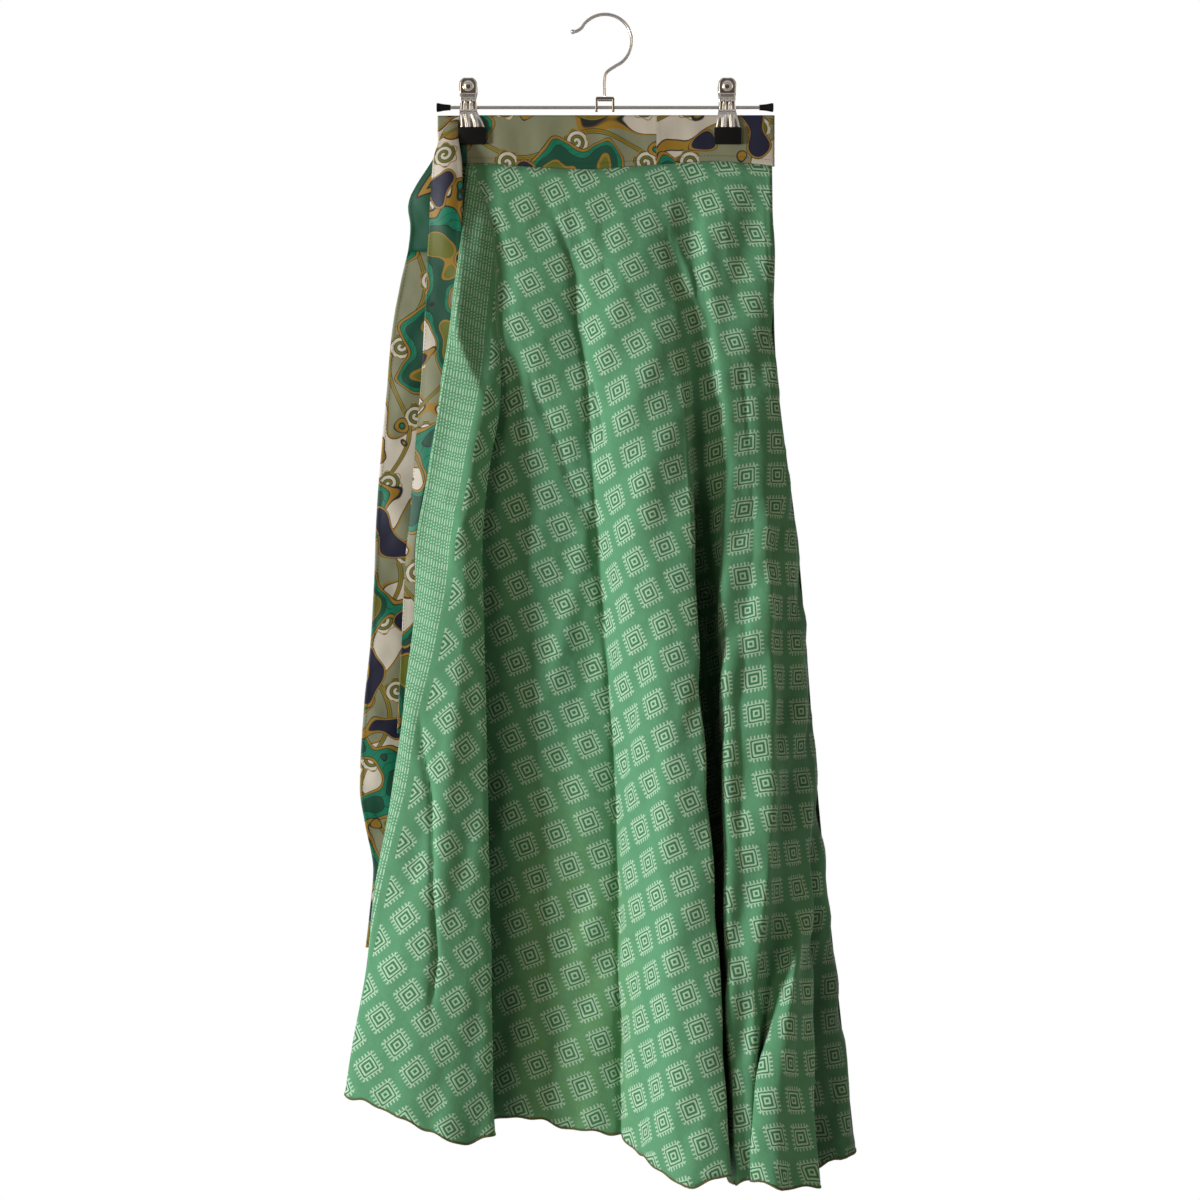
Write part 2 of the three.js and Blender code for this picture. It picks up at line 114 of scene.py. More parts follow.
# A method that adds the Math node of an operation on a socket and other values.
def maths(operation, turned=False):
    def add(self, *others):
        values = (self, *others)[::-1 if turned else 1]
        made = addNode(self.tree, "ShaderNodeMath", {"operation": operation}, enumerate(values))
        return Socket(self.tree, made.outputs[0])
    return add


# One socket of a shader. It takes part in sums, and each sum adds its Math node.
class Socket:
    def __init__(self, tree, link):
        self.tree, self.link = tree, link

    __add__ = __radd__ = maths("ADD")
    __sub__, __rsub__ = maths("SUBTRACT"), maths("SUBTRACT", True)
    __mul__ = __rmul__ = maths("MULTIPLY")
    __truediv__, __rtruediv__ = maths("DIVIDE"), maths("DIVIDE", True)
    __pow__, __abs__ = maths("POWER"), maths("ABSOLUTE")
    least, most = maths("MINIMUM"), maths("MAXIMUM")
    nearest, floor = maths("ROUND"), maths("FLOOR")
    sine, angleWith = maths("SINE"), maths("ARCTAN2")

    def __neg__(self):
        return self * -1.0

    # the rest after whole pitches, from minus half to plus half a pitch
    def within(self, pitch):
        return self - (self / pitch).nearest() * pitch

    # the rest after whole pitches, from 0 to the pitch
    def after(self, pitch):
        return self - (self / pitch).floor() * pitch

    # 0 below low and 1 above high, with a soft step between
    def rise(self, low, high):
        made = addNode(self.tree, "ShaderNodeMapRange", {"interpolation_type": "SMOOTHSTEP"},
                       enumerate((self, low, high, 0.0, 1.0)))
        return Socket(self.tree, made.outputs[0])

    def above(self, edge, soft=0.12):
        return self.rise(edge - soft, edge + soft)

    def below(self, edge, soft=0.12):
        return 1 - self.above(edge, soft)

    def between(self, low, high, soft=0.12):
        return self.above(low, soft) * self.below(high, soft)


light = {
    "key": {"place": (-2.9, -1.32, -0.45), "size": (0.6, 0.9), "power": 98, "tint": (0.97, 1.0, 1.0)},
    "fill": {"place": (-1.55, -2.7, 0.1), "size": (0.9, 1.8), "power": 14, "tint": (1.0, 0.88, 0.64)},
    "side": {"place": (2.7, -0.9, 0.0), "size": (1.2, 1.6), "power": 11, "tint": (1.0, 0.88, 0.68)},
    "back": {"place": (1.2, 2.2, 0.4), "size": (1.6, 1.6), "power": 30, "tint": (1.0, 0.98, 0.95)},
    "aim": (0.0, 0.0, -0.6),
    "room": (0.6, 0.47, 0.3),
    "roomStrength": 0.08,
    # what polished metal mirrors, from straight ahead or behind to the sides and above
    "mirrored": [(0.0, (0.11, 0.08, 0.065)), (0.07, (0.1, 0.07, 0.055)), (0.11, (0.85, 0.85, 0.85)),
                 (0.2, (0.85, 0.85, 0.85)), (0.24, (0.12, 0.08, 0.06)), (0.32, (0.12, 0.08, 0.06)),
                 (0.4, (1.0, 1.0, 1.0)), (0.6, (1.0, 1.0, 1.0)), (0.7, (0.16, 0.14, 0.13)),
                 (1.0, (0.6, 0.6, 0.6))],
    "mirroredStrength": 0.8,
    "floorHeight": -1.36,
    "floorSize": 2.4,
}


def addLights():
    for name in ("key", "fill", "side", "back"):
        values = light[name]
        data = bpy.data.lights.new(name, "AREA")
        data.shape = "RECTANGLE"
        data.size, data.size_y = values["size"]
        data.energy = values["power"]
        data.color = values["tint"]
        lamp = addObject(name, data)
        lamp.location = values["place"]
        aim = Vector(light["aim"]) - Vector(values["place"])
        lamp.rotation_euler = aim.to_track_quat("-Z", "Y").to_euler()
    bpy.context.scene.view_settings.view_transform = "Standard"


# White behind the object, a dim room that lights it, and the bands that its metal mirrors.
def addWorld():
    world = bpy.data.worlds.new("studio")
    bpy.context.scene.world = world
    world.use_nodes = True
    tree = world.node_tree
    tree.nodes.clear()

    def node(kind, inputs=(), settings=(), out=0):
        return addNode(tree, "ShaderNode" + kind, settings, inputs).outputs[out]

    way = Socket(tree, node("SeparateXYZ", {0: node("TexCoord", out="Generated")}, out="Y"))
    bands = node("ValToRGB", {0: 1 - way * way}, {"stops": light["mirrored"]})
    seen = node("Background", {"Color": (1, 1, 1)})
    room = node("Background", {"Color": light["room"], "Strength": light["roomStrength"]})
    mirrored = node("Background", {"Color": bands, "Strength": light["mirroredStrength"]})
    glossy, camera = (node("LightPath", out=f"Is {kind} Ray") for kind in ("Glossy", "Camera"))
    inside = node("MixShader", {0: glossy, 1: room, 2: mirrored})
    both = node("MixShader", {0: camera, 1: inside, 2: seen})
    addNode(tree, "ShaderNodeOutputWorld", inputs={"Surface": both})


addLights()
addWorld()
print("camera and lights set")


# a screen colour from 0 to 255 as the shader's own numbers
def colour(red, green, blue):
    def straight(level):
        level /= 255
        return level / 12.92 if level < 0.04045 else ((level + 0.055) / 1.055) ** 2.4
    return tuple(straight(level) for level in (red, green, blue))


# A material on one Principled shader.
class Finish:
    def __init__(self, name, constants):
        self.material = bpy.data.materials.new(name)
        self.material.use_nodes = True
        self.tree = self.material.node_tree
        self.shader = self.tree.nodes["Principled BSDF"]
        self.fill(constants)

    def fill(self, values):
        for slot, value in values.items():
            feed(self.tree, self.shader.inputs[slot], value)

    def node(self, kind, settings=(), inputs=(), out=0):
        return Socket(self.tree, addNode(self.tree, "ShaderNode" + kind, settings, inputs).outputs[out])

    def mix(self, share, first, second):
        return self.node("Mix", {"data_type": "RGBA"}, {0: share, 6: first, 7: second}, 2)

    # a colour made darker or lighter by a value
    def shade(self, tone, value):
        return self.node("VectorMath", {"operation": "SCALE"}, {0: tone, "Scale": value})

    def parts(self, vector):
        ends = addNode(self.tree, "ShaderNodeSeparateXYZ", inputs={0: vector}).outputs
        return [Socket(self.tree, end) for end in ends]

    def vector(self, x, y, z=0.0):
        return self.node("CombineXYZ", inputs={"X": x, "Y": y, "Z": z})

    # the cloth's own flat coordinates, in metres
    def flat(self):
        return self.node("UVMap", {"uv_map": "cloth"})

    def objectPlace(self):
        return self.node("TexCoord", out="Object")

    def noise(self, place, scale, detail=2.0, roughness=0.5):
        return self.node("TexNoise", inputs={
            "Vector": place, "Scale": scale, "Detail": detail, "Roughness": roughness})

    def bump(self, height, distance, strength=1.0, under=None):
        inputs = {"Height": height, "Distance": distance, "Strength": strength}
        if under is not None:
            inputs["Normal"] = under
        return self.node("Bump", inputs=inputs)

    def finished(self, tone, roughness, normal):
        self.fill({"Base Color": tone, "Roughness": roughness, "Normal": normal})
        return self.material


skirt = {
    "levels": (-280, -486, -700),
    "bandPitch": 2.0,
    "seamGap": 0.3,
    "cutRadius": 405.0,         # of the waist's curve, as the cloth is cut
    "tuckTurn": 5.0,            # degrees of cloth laid away in the tuck beside the leading edge
    "tuckShift": (12.85, -7.67),
    "clothWall": 0.5,
    "rings": 118,
    "kneeShare": 0.72,          # of the way down, where the columns are spaced
    "sharpness": 1.6,           # how much closer the columns are at a sharp row
    "ease": 60.0,               # the small folds grow over this length below the waist seam
    "quiet": 40.0,              # and over this length from a fold that two runs share
    "underLength": 812.0,
}

skirtPrint = {
    "ground": colour(93, 152, 113),
    "pale": colour(184, 214, 188),
    "deep": colour(60, 116, 76),
    "thread": colour(112, 100, 58),
    "wander": 0.9,              # how far a printed line strays
    "motifStart": 44.0,         # the border and its blank strip end here
    "columnPitch": 21.5,
    "drop": 43.5,
    "phase": (1.0, -2.7),
    "rings": [(1.5, 2.9), (5.0, 6.4), (7.8, 8.6)],
    "deepRings": [(-1.0, 1.2), (3.1, 4.7), (6.6, 7.6)],
    "deepShare": 0.8,
    "teeth": (3.3, 3.5),        # pitch on two sides and on the other two
    "toothHalf": 0.78,
    "toothTaper": 0.07,
    "toothSpan": 8.8,           # how far along a side the teeth go
    "toothReach": (8.3, 11.6),
    "cornerReach": 3.6,
    "borderEnd": 38.5,
    "dashPitch": 2.75,
    "dashHalf": 0.52,
    "dashRepeat": 12.8,
    "dashGaps": [0.0, 6.9, 9.8, 12.8],
    "gapHalf": 0.62,
    "dashStagger": 0.7,
    "dashSlant": 0.9,           # down from each column of dashes to the next
    "paintedShadeStrength": 0.55,        # how much painted shade darkens the cloth deep in a fold
    "warm": colour(126, 164, 102),
    "warmPlace": (-0.035, -0.88),     # metres, with the reach sideways and up
    "warmReach": (0.075, 0.26),
}


# The pale diamonds and the dashed border, on the cloth's flat coordinates.
def clothFinish(name, contrast=1.0, groundShade=1.0):
    values = skirtPrint
    finish = Finish(name, {"Roughness": 0.8, "Specular IOR Level": 0.22, "Sheen Weight": 0.12,
                           "Sheen Roughness": 0.5})
    flat = finish.flat()
    across, up, _ = finish.parts(flat)
    across = across * 1000 + (finish.noise(flat, 160.0) - 0.5) * values["wander"]
    down = up * -1000 + (finish.noise(flat, 143.0) - 0.5) * values["wander"]

    column = (across - (values["motifStart"] + values["phase"][0])) / values["columnPitch"]
    row = (down - (skirt["cutRadius"] + values["phase"][1])) / (values["drop"] / 2)
    side = math.hypot(values["columnPitch"], values["drop"] / 2)
    p = abs(((column + row) / 2).within(1.0)) * side
    q = abs(((column - row) / 2).within(1.0)) * side
    outer, along = p.most(q), p.least(q)
    ring = (p ** 14 + q ** 14) ** (1 / 14)      # a square with rounded corners
    pale, deep = (reduce(Socket.most, [ring.between(*span) for span in values[key]])
                  for key in ("rings", "deepRings"))

    near, far = values["toothReach"]
    half = values["toothHalf"] - (outer - near) * values["toothTaper"]
    pitch = values["teeth"][1]
    teethP = half - abs(q.within(values["teeth"][0]))
    teethQ = half - abs((p - pitch / 2).within(pitch))
    for teeth, out, beside in ((teethP, p, q), (teethQ, q, p)):
        pale = pale.most(teeth.above(0.0) * out.between(near, far) * beside.below(values["toothSpan"]))
    corner = (outer - along).below(1.0, 0.2)
    pale = pale.most(corner * (outer + along).between(2 * near, 2 * near + values["cornerReach"], 0.3))
    printed = across.above(values["motifStart"], 0.2)

    strip = (across / values["dashPitch"]).floor()
    dash = abs(across - (strip + 0.5) * values["dashPitch"]).below(values["dashHalf"])
    spot = down + strip.after(2) * values["dashStagger"] - strip * values["dashSlant"]
    spot = spot.after(values["dashRepeat"])
    for gap in values["dashGaps"]:
        dash = dash * abs(spot - gap).above(values["gapHalf"])
    dash = dash * across.between(0.6, values["borderEnd"])

    mottle = finish.noise(flat, 55.0, 4.0, 0.6)
    speck = finish.noise(flat, 620.0, 3.0, 0.6)
    x, _, z = finish.parts(finish.objectPlace())
    aside = (x - values["warmPlace"][0]) / values["warmReach"][0]
    away = (z - values["warmPlace"][1]) / values["warmReach"][1]
    warm = 1 - (aside * aside + away * away).rise(0.0, 1.0)
    base = finish.mix(warm * (0.05 + mottle * 0.55), values["ground"], values["warm"])
    ground = finish.shade(base, (0.75 + mottle * 0.3 + speck * 0.21) * groundShade)
    tone = finish.mix(deep * printed * (values["deepShare"] * contrast), ground, values["deep"])
    ink = (pale * printed).most(dash) * (0.74 + finish.noise(flat, 900.0, 3.0) * 0.36)
    tone = finish.mix(ink.least(1.0) * contrast, tone, values["pale"])
    # painted shade: the cloth is darkened where it lies deep behind the fold to its left
    hollow = finish.node("Attribute", {"attribute_name": "hollow"}, out="Fac")
    tone = finish.shade(tone, 1 - hollow * values["paintedShadeStrength"])

    crepe = finish.noise(flat, 1700.0, 3.0, 0.6)
    normal = finish.bump(crepe, 0.00022, 0.45)
    normal = finish.bump(finish.noise(flat, 64.0, 4.0, 0.6), 0.0024, 0.5, normal)
    return finish.finished(tone, 0.74 + crepe * 0.16, normal)


def threadFinish(name, tone):
    finish = Finish(name, {"Specular IOR Level": 0.3})
    place = finish.objectPlace()
    twist = finish.noise(place, 2600.0)
    tone = finish.shade(tone, 0.75 + finish.noise(place, 90.0) * 0.5)
    return finish.finished(tone, 0.7 + twist * 0.2, finish.bump(twist, 0.00015, 0.6))


floral = {
    "cream": colour(214, 204, 190),
    "sage": colour(138, 140, 112),
    "teal": colour(0, 122, 92),
    "darkGreen": colour(2, 72, 52),
    "ochre": colour(160, 122, 38),
    "olive": colour(104, 108, 34),
    "ink": colour(18, 20, 24),
    "navy": colour(16, 18, 48),
    "cell": 62.0,               # between curls
    "curlPitch": 6.2,
    "curlRadius": 10.5,
    "edgeGreen": 7.0,           # how far from the band's front end it is painted dark green
    "joinShift": (23, 31),      # how the print jumps where two lengths are joined
}


# A generic leaf and scroll print: outlined leaves and drops on banks of cream and sage, with a waving
# stem and small curls.
def floralFinish(name, shiftAlong=0.0, shiftAcross=0.0, join=None, endStrip=False):
    values = floral
    finish = Finish(name, {"Roughness": 0.5, "Specular IOR Level": 0.35, "Sheen Weight": 0.08})
    flat = finish.flat()
    x, y, _ = finish.parts(flat)
    length = x * 1000
    x = length + shiftAlong
    y = y * 1000 + shiftAcross
    if join is not None:
        jump = length.above(join, 0.05)
        x = x + jump * values["joinShift"][0]
        y = y + jump * values["joinShift"][1]

    def spread(scale, detail, corner):
        return finish.noise(finish.vector(x * 0.001 + corner, y * 0.001 - corner), scale, detail, 0.4)

    def paint(share, shade):
        nonlocal tone
        tone = finish.mix(share, tone, values[shade])

    # fills where a spread passes each level in turn
    def layers(spread, *steps):
        for level, shade in steps:
            paint(spread.above(level, 0.002), shade)

    bank = spread(15.0, 1.0, 2.0)
    tone = finish.mix(bank.above(0.5, 0.002), values["cream"], values["sage"])
    paint(abs(bank - 0.507).below(0.009, 0.002), "ochre")
    paint(abs(bank - 0.5).below(0.003, 0.002), "ink")

    stem = abs(y - (x * 0.055).sine() * 15 - (x * 0.021).sine() * 9 - 12)
    stem = stem.least(abs(y - 52 + (x * 0.049 + 1.0).sine() * 12))
    paint(stem.below(2.3, 0.3), "ink")
    paint(stem.below(1.8, 0.3), "olive")
    paint(abs(stem - 1.0).below(0.4, 0.2), "ochre")

    # curls on a half-drop lattice
    cell, pitch = values["cell"], values["curlPitch"]
    strip = (x / cell).nearest()
    curlX = x - strip * cell
    curlY = (y + strip.after(2) * (cell / 2)).within(cell * 0.8)
    away = (curlX * curlX + curlY * curlY) ** 0.5
    angle = curlY.angleWith(curlX)
    turn = abs((away - angle * (pitch / (2 * math.pi))).within(pitch))
    edge = away - values["curlRadius"] - (angle * 6).sine() * 1.2
    inside = edge.below(0.0, 0.25)
    paint(edge.below(0.9, 0.25), "ochre")
    paint(inside, "cream")
    paint(turn.below(1.4, 0.25) * inside, "olive")
    paint(abs(turn - 1.4).below(0.3, 0.2) * inside, "ink")

    leaf = spread(21.0, 1.2, 5.0)
    layers(leaf, (0.532, "ink"), (0.539, "ochre"), (0.561, "ink"), (0.567, "teal"))
    vein = abs((x * 0.34 + y * 0.21 + leaf * 50).sine())
    paint(vein.below(0.14, 0.06) * leaf.above(0.575, 0.004), "darkGreen")
    layers(leaf, (0.605, "ink"), (0.609, "darkGreen"), (0.672, "ochre"), (0.684, "olive"))
    layers(spread(31.0, 0.0, 9.0), (0.64, "ink"), (0.647, "ochre"), (0.672, "navy"))

    if endStrip:
        paint(length.below(values["edgeGreen"], 0.3), "darkGreen")
    weave = finish.noise(flat, 2400.0)
    cloud = finish.noise(flat, 50.0, 3.0)
    tone = finish.shade(tone, 0.82 + weave * 0.08 + cloud * 0.14)
    normal = finish.bump(cloud, 0.0012, 0.35, finish.bump(weave, 0.00012, 0.5))
    return finish.finished(tone, 0.46 + weave * 0.14, normal)


plainGreen = {
    "ground": colour(0, 84, 58),
    "tip": (24.0, 34.0),        # across and down, to the middle of the triangle
    "outline": [(9.0, floral["ink"]), (7.2, floral["ochre"]), (2.8, floral["ink"])],
    "core": 1.4,
}


# The tie's upper length: dark green cloth with one outlined triangle.
def plainGreenFinish():
    values = plainGreen
    finish = Finish("plain_green_cloth", {"Roughness": 0.5, "Specular IOR Level": 0.35, "Sheen Weight": 0.1})
    flat = finish.flat()
    down, across, _ = finish.parts(flat)
    x = across * 1000 - values["tip"][0]
    y = down * 1000 - values["tip"][1]
    slope = (x * 0.62 + abs(y) * 0.95).most(-x - 9)
    weave = finish.noise(flat, 2400.0)
    tone = finish.mix(finish.noise(flat, 40.0, 3.0), values["ground"], floral["darkGreen"])
    for level, shade in (*values["outline"], (values["core"], values["ground"])):
        tone = finish.mix(slope.below(level, 0.2), tone, shade)
    tone = finish.shade(tone, 0.9 + weave * 0.16)
    return finish.finished(tone, 0.45 + weave * 0.15, finish.bump(weave, 0.00012, 0.5))


def chromeFinish():
    finish = Finish("chrome", {"Metallic": 1.0, "Specular IOR Level": 0.5})
    place = finish.objectPlace()
    # the metal's colour and roughness vary in soft random blotches, warmer and darker in some
    blotch = finish.noise(place, 120.0, 3.0)
    tone = finish.mix(blotch, colour(222, 218, 212), colour(192, 182, 172))
    return finish.finished(tone, 0.1 + blotch * 0.1, finish.bump(finish.noise(place, 900.0), 0.00004, 0.3))


def rubberFinish():
    finish = Finish("black_rubber", {"Specular IOR Level": 0.16})
    place = finish.objectPlace()
    grain = finish.noise(place, 1300.0, 3.0)
    tone = finish.mix(finish.noise(place, 140.0, 3.0), colour(4, 4, 4), colour(10, 10, 10))
    return finish.finished(tone, 0.42 + grain * 0.25, finish.bump(grain, 0.00012, 0.5))


finishes = {
    "cloth": clothFinish("skirt_cloth"),
    "reverse": clothFinish("skirt_cloth_reverse", 0.55, 0.92),
    "hemThread": threadFinish("hem_thread", skirtPrint["thread"]),
    "greenThread": threadFinish("green_thread", colour(70, 118, 84)),
    "darkThread": threadFinish("dark_thread", colour(52, 50, 36)),
    "band": floralFinish("band_cloth", 20.0, 26.0, 176.0, True),
    "tieFront": floralFinish("tie_cloth_front", 150.0, 8.0),
    "tieBack": floralFinish("tie_cloth_back", 38.0, 40.0),
    "plainGreen": plainGreenFinish(),
    "chrome": chromeFinish(),
    "rubber": rubberFinish(),
}
print("materials made")


def meshObject(name, points, faces, materials):
    mesh = bpy.data.meshes.new(name)
    mesh.from_pydata([tuple(point) for point in points], [], [tuple(face) for face in faces])
    mesh.polygons.foreach_set("use_smooth", [True] * len(mesh.polygons))
    for key in materials:
        mesh.materials.append(finishes[key])
    mesh.update()
    return addObject(name, mesh)


# A sheet of quads through a grid of points in metres, [ring][column], facing forwards.
def sheetObject(name, grid, flat, materials, thickness):
    rings, columns = grid.shape[:2]
    number = np.arange(rings * columns).reshape(rings, columns)
    faces = np.stack([number[:-1, :-1], number[1:, :-1], number[1:, 1:], number[:-1, 1:]], axis=-1)
    piece = meshObject(name, grid.reshape(-1, 3), faces.reshape(-1, 4), materials)
    layer = piece.data.uv_layers.new(name="cloth")
    corners = np.empty(len(piece.data.loops), dtype=np.int32)
    piece.data.loops.foreach_get("vertex_index", corners)
    layer.data.foreach_set("uv", flat.reshape(-1, 2)[corners].astype(np.float32).ravel())
    wall = piece.modifiers.new("wall", "SOLIDIFY")
    wall.thickness = thickness * mm
    wall.offset = 0
    wall.use_even_offset = True
    wall.use_quality_normals = True
    if len(materials) > 1:      # the face, the reverse and the edge
        wall.material_offset = 1
        wall.material_offset_rim = 2
    return piece


def addBevel(piece, width, segments):
    bevel = piece.modifiers.new("bevel", "BEVEL")
    bevel.width = width * mm
    bevel.segments = segments


def place(piece, slot, nodes=()):
    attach(piece, body)
    if nodes:
        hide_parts(*nodes)
    return piece


# A smooth run through knots, with no overshoot between them.
def smooth(knots, values, at):
    knots = np.asarray(knots, dtype=float)
    values = np.asarray(values, dtype=float)
    rate = np.diff(values) / np.diff(knots)
    both = rate[:-1] * rate[1:]
    total = rate[:-1] + rate[1:]
    inner = np.where(both > 0, 2 * both / np.where(total == 0, 1, total), 0)
    slope = np.concatenate([rate[:1], inner, rate[-1:]])
    i = np.clip(np.searchsorted(knots, at) - 1, 0, len(knots) - 2)
    span = knots[i + 1] - knots[i]
    t = np.clip((at - knots[i]) / span, 0, 1)
    return ((2 * t**3 - 3 * t**2 + 1) * values[i] + (t**3 - 2 * t**2 + t) * span * slope[i]
            + (3 * t**2 - 2 * t**3) * values[i + 1] + (t**3 - t**2) * span * slope[i + 1])


# Points along a section through its rows, at row numbers that need not be whole.
def through(rows, at):
    ends = np.concatenate([2 * rows[:, :1] - rows[:, 1:2], rows, 2 * rows[:, -1:] - rows[:, -2:-1]], axis=1)
    chord = np.sqrt(np.maximum(np.linalg.norm(np.diff(ends, axis=1), axis=2), 1e-6))[..., None]
    i = np.clip(np.floor(at).astype(int), 0, rows.shape[1] - 2)
    t = (at - i)[None, :, None]
    a, b, c, d = (ends[:, i + k] for k in range(4))
    ab, bc, cd = (chord[:, i + k] for k in range(3))
    before = ((b - a) / ab - (c - a) / (ab + bc) + (c - b) / bc) * bc
    after = ((c - b) / bc - (d - b) / (bc + cd) + (d - c) / cd) * bc
    return b + before * t + (3 * (c - b) - 2 * before - after) * t**2 + (2 * (b - c) + before + after) * t**3


# unit normals of a grid, towards the inside of the skirt
def gridNormals(grid):
    normals = np.cross(np.gradient(grid, axis=1), np.gradient(grid, axis=0))
    return normals / np.maximum(np.linalg.norm(normals, axis=2, keepdims=True), 1e-12)


def runLength(grid, axis):
    steps = np.linalg.norm(np.diff(grid, axis=axis), axis=2)
    return np.concatenate([np.zeros_like(np.take(steps, [0], axis)), np.cumsum(steps, axis=axis)], axis=axis)


seamLine = [(-150, -132), (-110, -132), (-65, -135), (-18, -137), (40, -133.5), (100, -130),
            (135, -132.5), (152, -134.5)]

# One row a fold, from the leading edge to the right fold: its place across at the waist, then its
# height, place across and depth further down, ending at the hem.
frontFolds = {
    "edge": (-124, [(-200, -131, -12), (-280, -137, -13), (-345, -147, -11), (-400, -155, -15),
        (-486, -168, -22), (-560, -166, -18.5), (-620, -165, -16), (-700, -177, -17), (-830, -178, -14),
        (-965, -187, -14)]),
    "turn": (-123, [(-200, -129.5, -14), (-280, -135, -15.5), (-345, -145, -14), (-400, -153, -18),
        (-486, -165.5, -25), (-560, -171.5, -28), (-620, -178, -31), (-700, -190, -34),
        (-830, -208, -37), (-954, -228, -40)]),
    "flapRidge": (-122, [(-200, -126, -15.5), (-280, -131, -20.5), (-345, -113, -24), (-400, -119, -33),
        (-486, -127, -42), (-560, -130, -45), (-700, -150, -51), (-978, -160, -65)]),
    "flapFront": (-121, [(-200, -116, -10.5), (-280, -117, -14.5), (-345, -104, -21.5),
        (-400, -112, -30), (-486, -118, -41), (-700, -128, -49.5), (-994, -130, -62.5)]),
    "flapLip": (-120.2, [(-200, -105, -6.5), (-280, -99.5, -9.5), (-345, -94, -15), (-400, -100, -21),
        (-486, -108.5, -31), (-700, -104, -40), (-987, -97, -52)]),
    "flapUnder": (-119.6, [(-200, -100.5, -4), (-280, -96, -6.5), (-345, -93.5, -10), (-400, -101, -15),
        (-486, -108.5, -26), (-700, -105, -34), (-986, -99, -46)]),
    "flapTuck": (-119, [(-200, -98, -2.2), (-280, -94, -3.4), (-345, -96, -5), (-400, -107, -8),
        (-486, -116, -15), (-700, -119, -19), (-985, -120, -28)]),
    "valleyLeft": (-117, [(-200, -93.5, -2), (-280, -85.5, -3.2), (-345, -79, -4.2), (-400, -84, -5),
        (-486, -92, -6), (-700, -87, -9), (-980, -84, -17)]),
    "slope": (-95, [(-280, -72, -6), (-400, -62, -9.5), (-486, -62, -12), (-700, -51, -14),
        (-986, -40, -24)]),
    "creaseLeft": (-41, [(-280, -26, -5), (-486, -11, -11), (-700, 4, -14.5), (-995, 9, -24)]),
    "crease": (-35, [(-280, -20, -3.5), (-486, -5, -9), (-700, 9.5, -12.5), (-996, 14.5, -21)]),
    "creaseRight": (-30, [(-280, -15, -6), (-486, -0.5, -15), (-700, 13.5, -22), (-998, 18.5, -31)]),
    "flank": (-13, [(-280, 0, -13.5), (-486, 14, -33), (-700, 31, -49), (-1010, 39, -64)]),
    "crest": (12, [(-280, 22, -20), (-486, 38, -49), (-700, 51, -70), (-1021, 62, -91)]),
    "crownRight": (38, [(-280, 46, -21), (-486, 58, -50), (-700, 67, -73), (-1021, 83, -97)]),
    "lipFront": (53.5, [(-280, 63.5, -17), (-400, 70, -35), (-486, 73.5, -48.5), (-700, 85, -72),
        (-830, 93.5, -81), (-1015, 103, -96)]),
    "lip": (56, [(-280, 66, -15.5), (-400, 73, -34), (-486, 77, -47), (-700, 88.5, -70.5),
        (-830, 97, -79.5), (-1015, 106.5, -94)]),
    "lipBack": (62, [(-280, 72, -10), (-400, 76, -25), (-486, 77.5, -38), (-700, 88.5, -61),
        (-830, 96.5, -70), (-1016, 106, -84)]),
    "tuck": (68, [(-280, 77, -6.5), (-400, 79, -11), (-486, 75, -15), (-700, 80, -25), (-830, 88, -29),
        (-1022, 98, -35)]),
    "valleyRight": (73, [(-280, 82, -4), (-400, 87, -5), (-486, 88, -4), (-700, 91, -6), (-830, 96, -9),
        (-1028, 105, -15)]),
    "rise": (78, [(-280, 91, -6.5), (-400, 101, -11), (-486, 100, -14), (-700, 102.5, -25),
        (-830, 104.5, -41), (-1031, 111.5, -54)]),
    "stripLeft": (84, [(-280, 98, -11.5), (-400, 111, -20), (-486, 104, -36), (-700, 105, -64.5),
        (-830, 106.5, -75), (-1020, 114, -88)]),
    "stripMiddle": (96, [(-280, 110, -11), (-400, 123, -18.5), (-486, 122, -37), (-700, 122, -63),
        (-830, 118, -75), (-1019, 120, -87)]),
    "ridgeRight": (112, [(-280, 124, -9.5), (-400, 138, -16), (-486, 144.5, -38.5), (-700, 145.5, -65),
        (-816, 133.5, -76), (-880, 129, -79), (-1019, 125, -87)]),
    "ridgeBack": (118, [(-280, 129, -8.6), (-400, 142, -14.5), (-486, 149, -31), (-700, 150.5, -56),
        (-816, 138.5, -66), (-880, 133, -69), (-1021, 129, -78)]),
    "dip": (126, [(-280, 136, -7), (-400, 149, -10.5), (-486, 155, -24), (-700, 156, -42),
        (-816, 151, -50), (-865, 143, -57), (-927, 134, -66), (-1022, 130, -75)]),
    "gussetLeft": (130, [(-280, 140, -6), (-400, 152, -8.5), (-486, 158, -20), (-700, 161, -36),
        (-800, 164, -43), (-822, 162, -52), (-865, 151.5, -68), (-895, 140.5, -78), (-927, 131, -83),
        (-956, 127.5, -85), (-1020, 124.5, -88)]),
    "gussetFront": (132.5, [(-280, 141.5, -5.5), (-400, 155, -7.5), (-486, 161, -17.5),
        (-700, 165, -32), (-800, 168, -41), (-822, 167, -57), (-865, 160, -77), (-895, 154, -86),
        (-1023, 145, -96)]),
    "gussetRidge": (135.5, [(-280, 143, -5), (-400, 157, -6), (-486, 163, -15), (-700, 172, -27),
        (-800, 172, -38), (-835, 171.5, -54), (-895, 168, -71), (-1028, 160, -81)]),
    "gussetLip": (138.5, [(-280, 145, -4.5), (-400, 159, -5), (-486, 165.5, -13), (-700, 180, -21),
        (-816, 181.5, -32), (-870, 181, -48), (-1029, 183, -74)]),
    "gussetUnder": (140.5, [(-280, 146, -4), (-400, 160, -4), (-486, 167, -10), (-700, 181.5, -17),
        (-816, 182, -27), (-870, 180.5, -40), (-1028, 182.5, -66)]),
    "gussetTuck": (142.5, [(-280, 147, -3), (-400, 161, -3), (-486, 169, -7.5), (-700, 183, -13),
        (-816, 180, -21), (-870, 177, -29), (-1024, 178, -38)]),
    "side": (147, [(-280, 149.5, -1), (-486, 171, -3.5), (-700, 187.5, -7), (-1014, 217, -20)]),
}
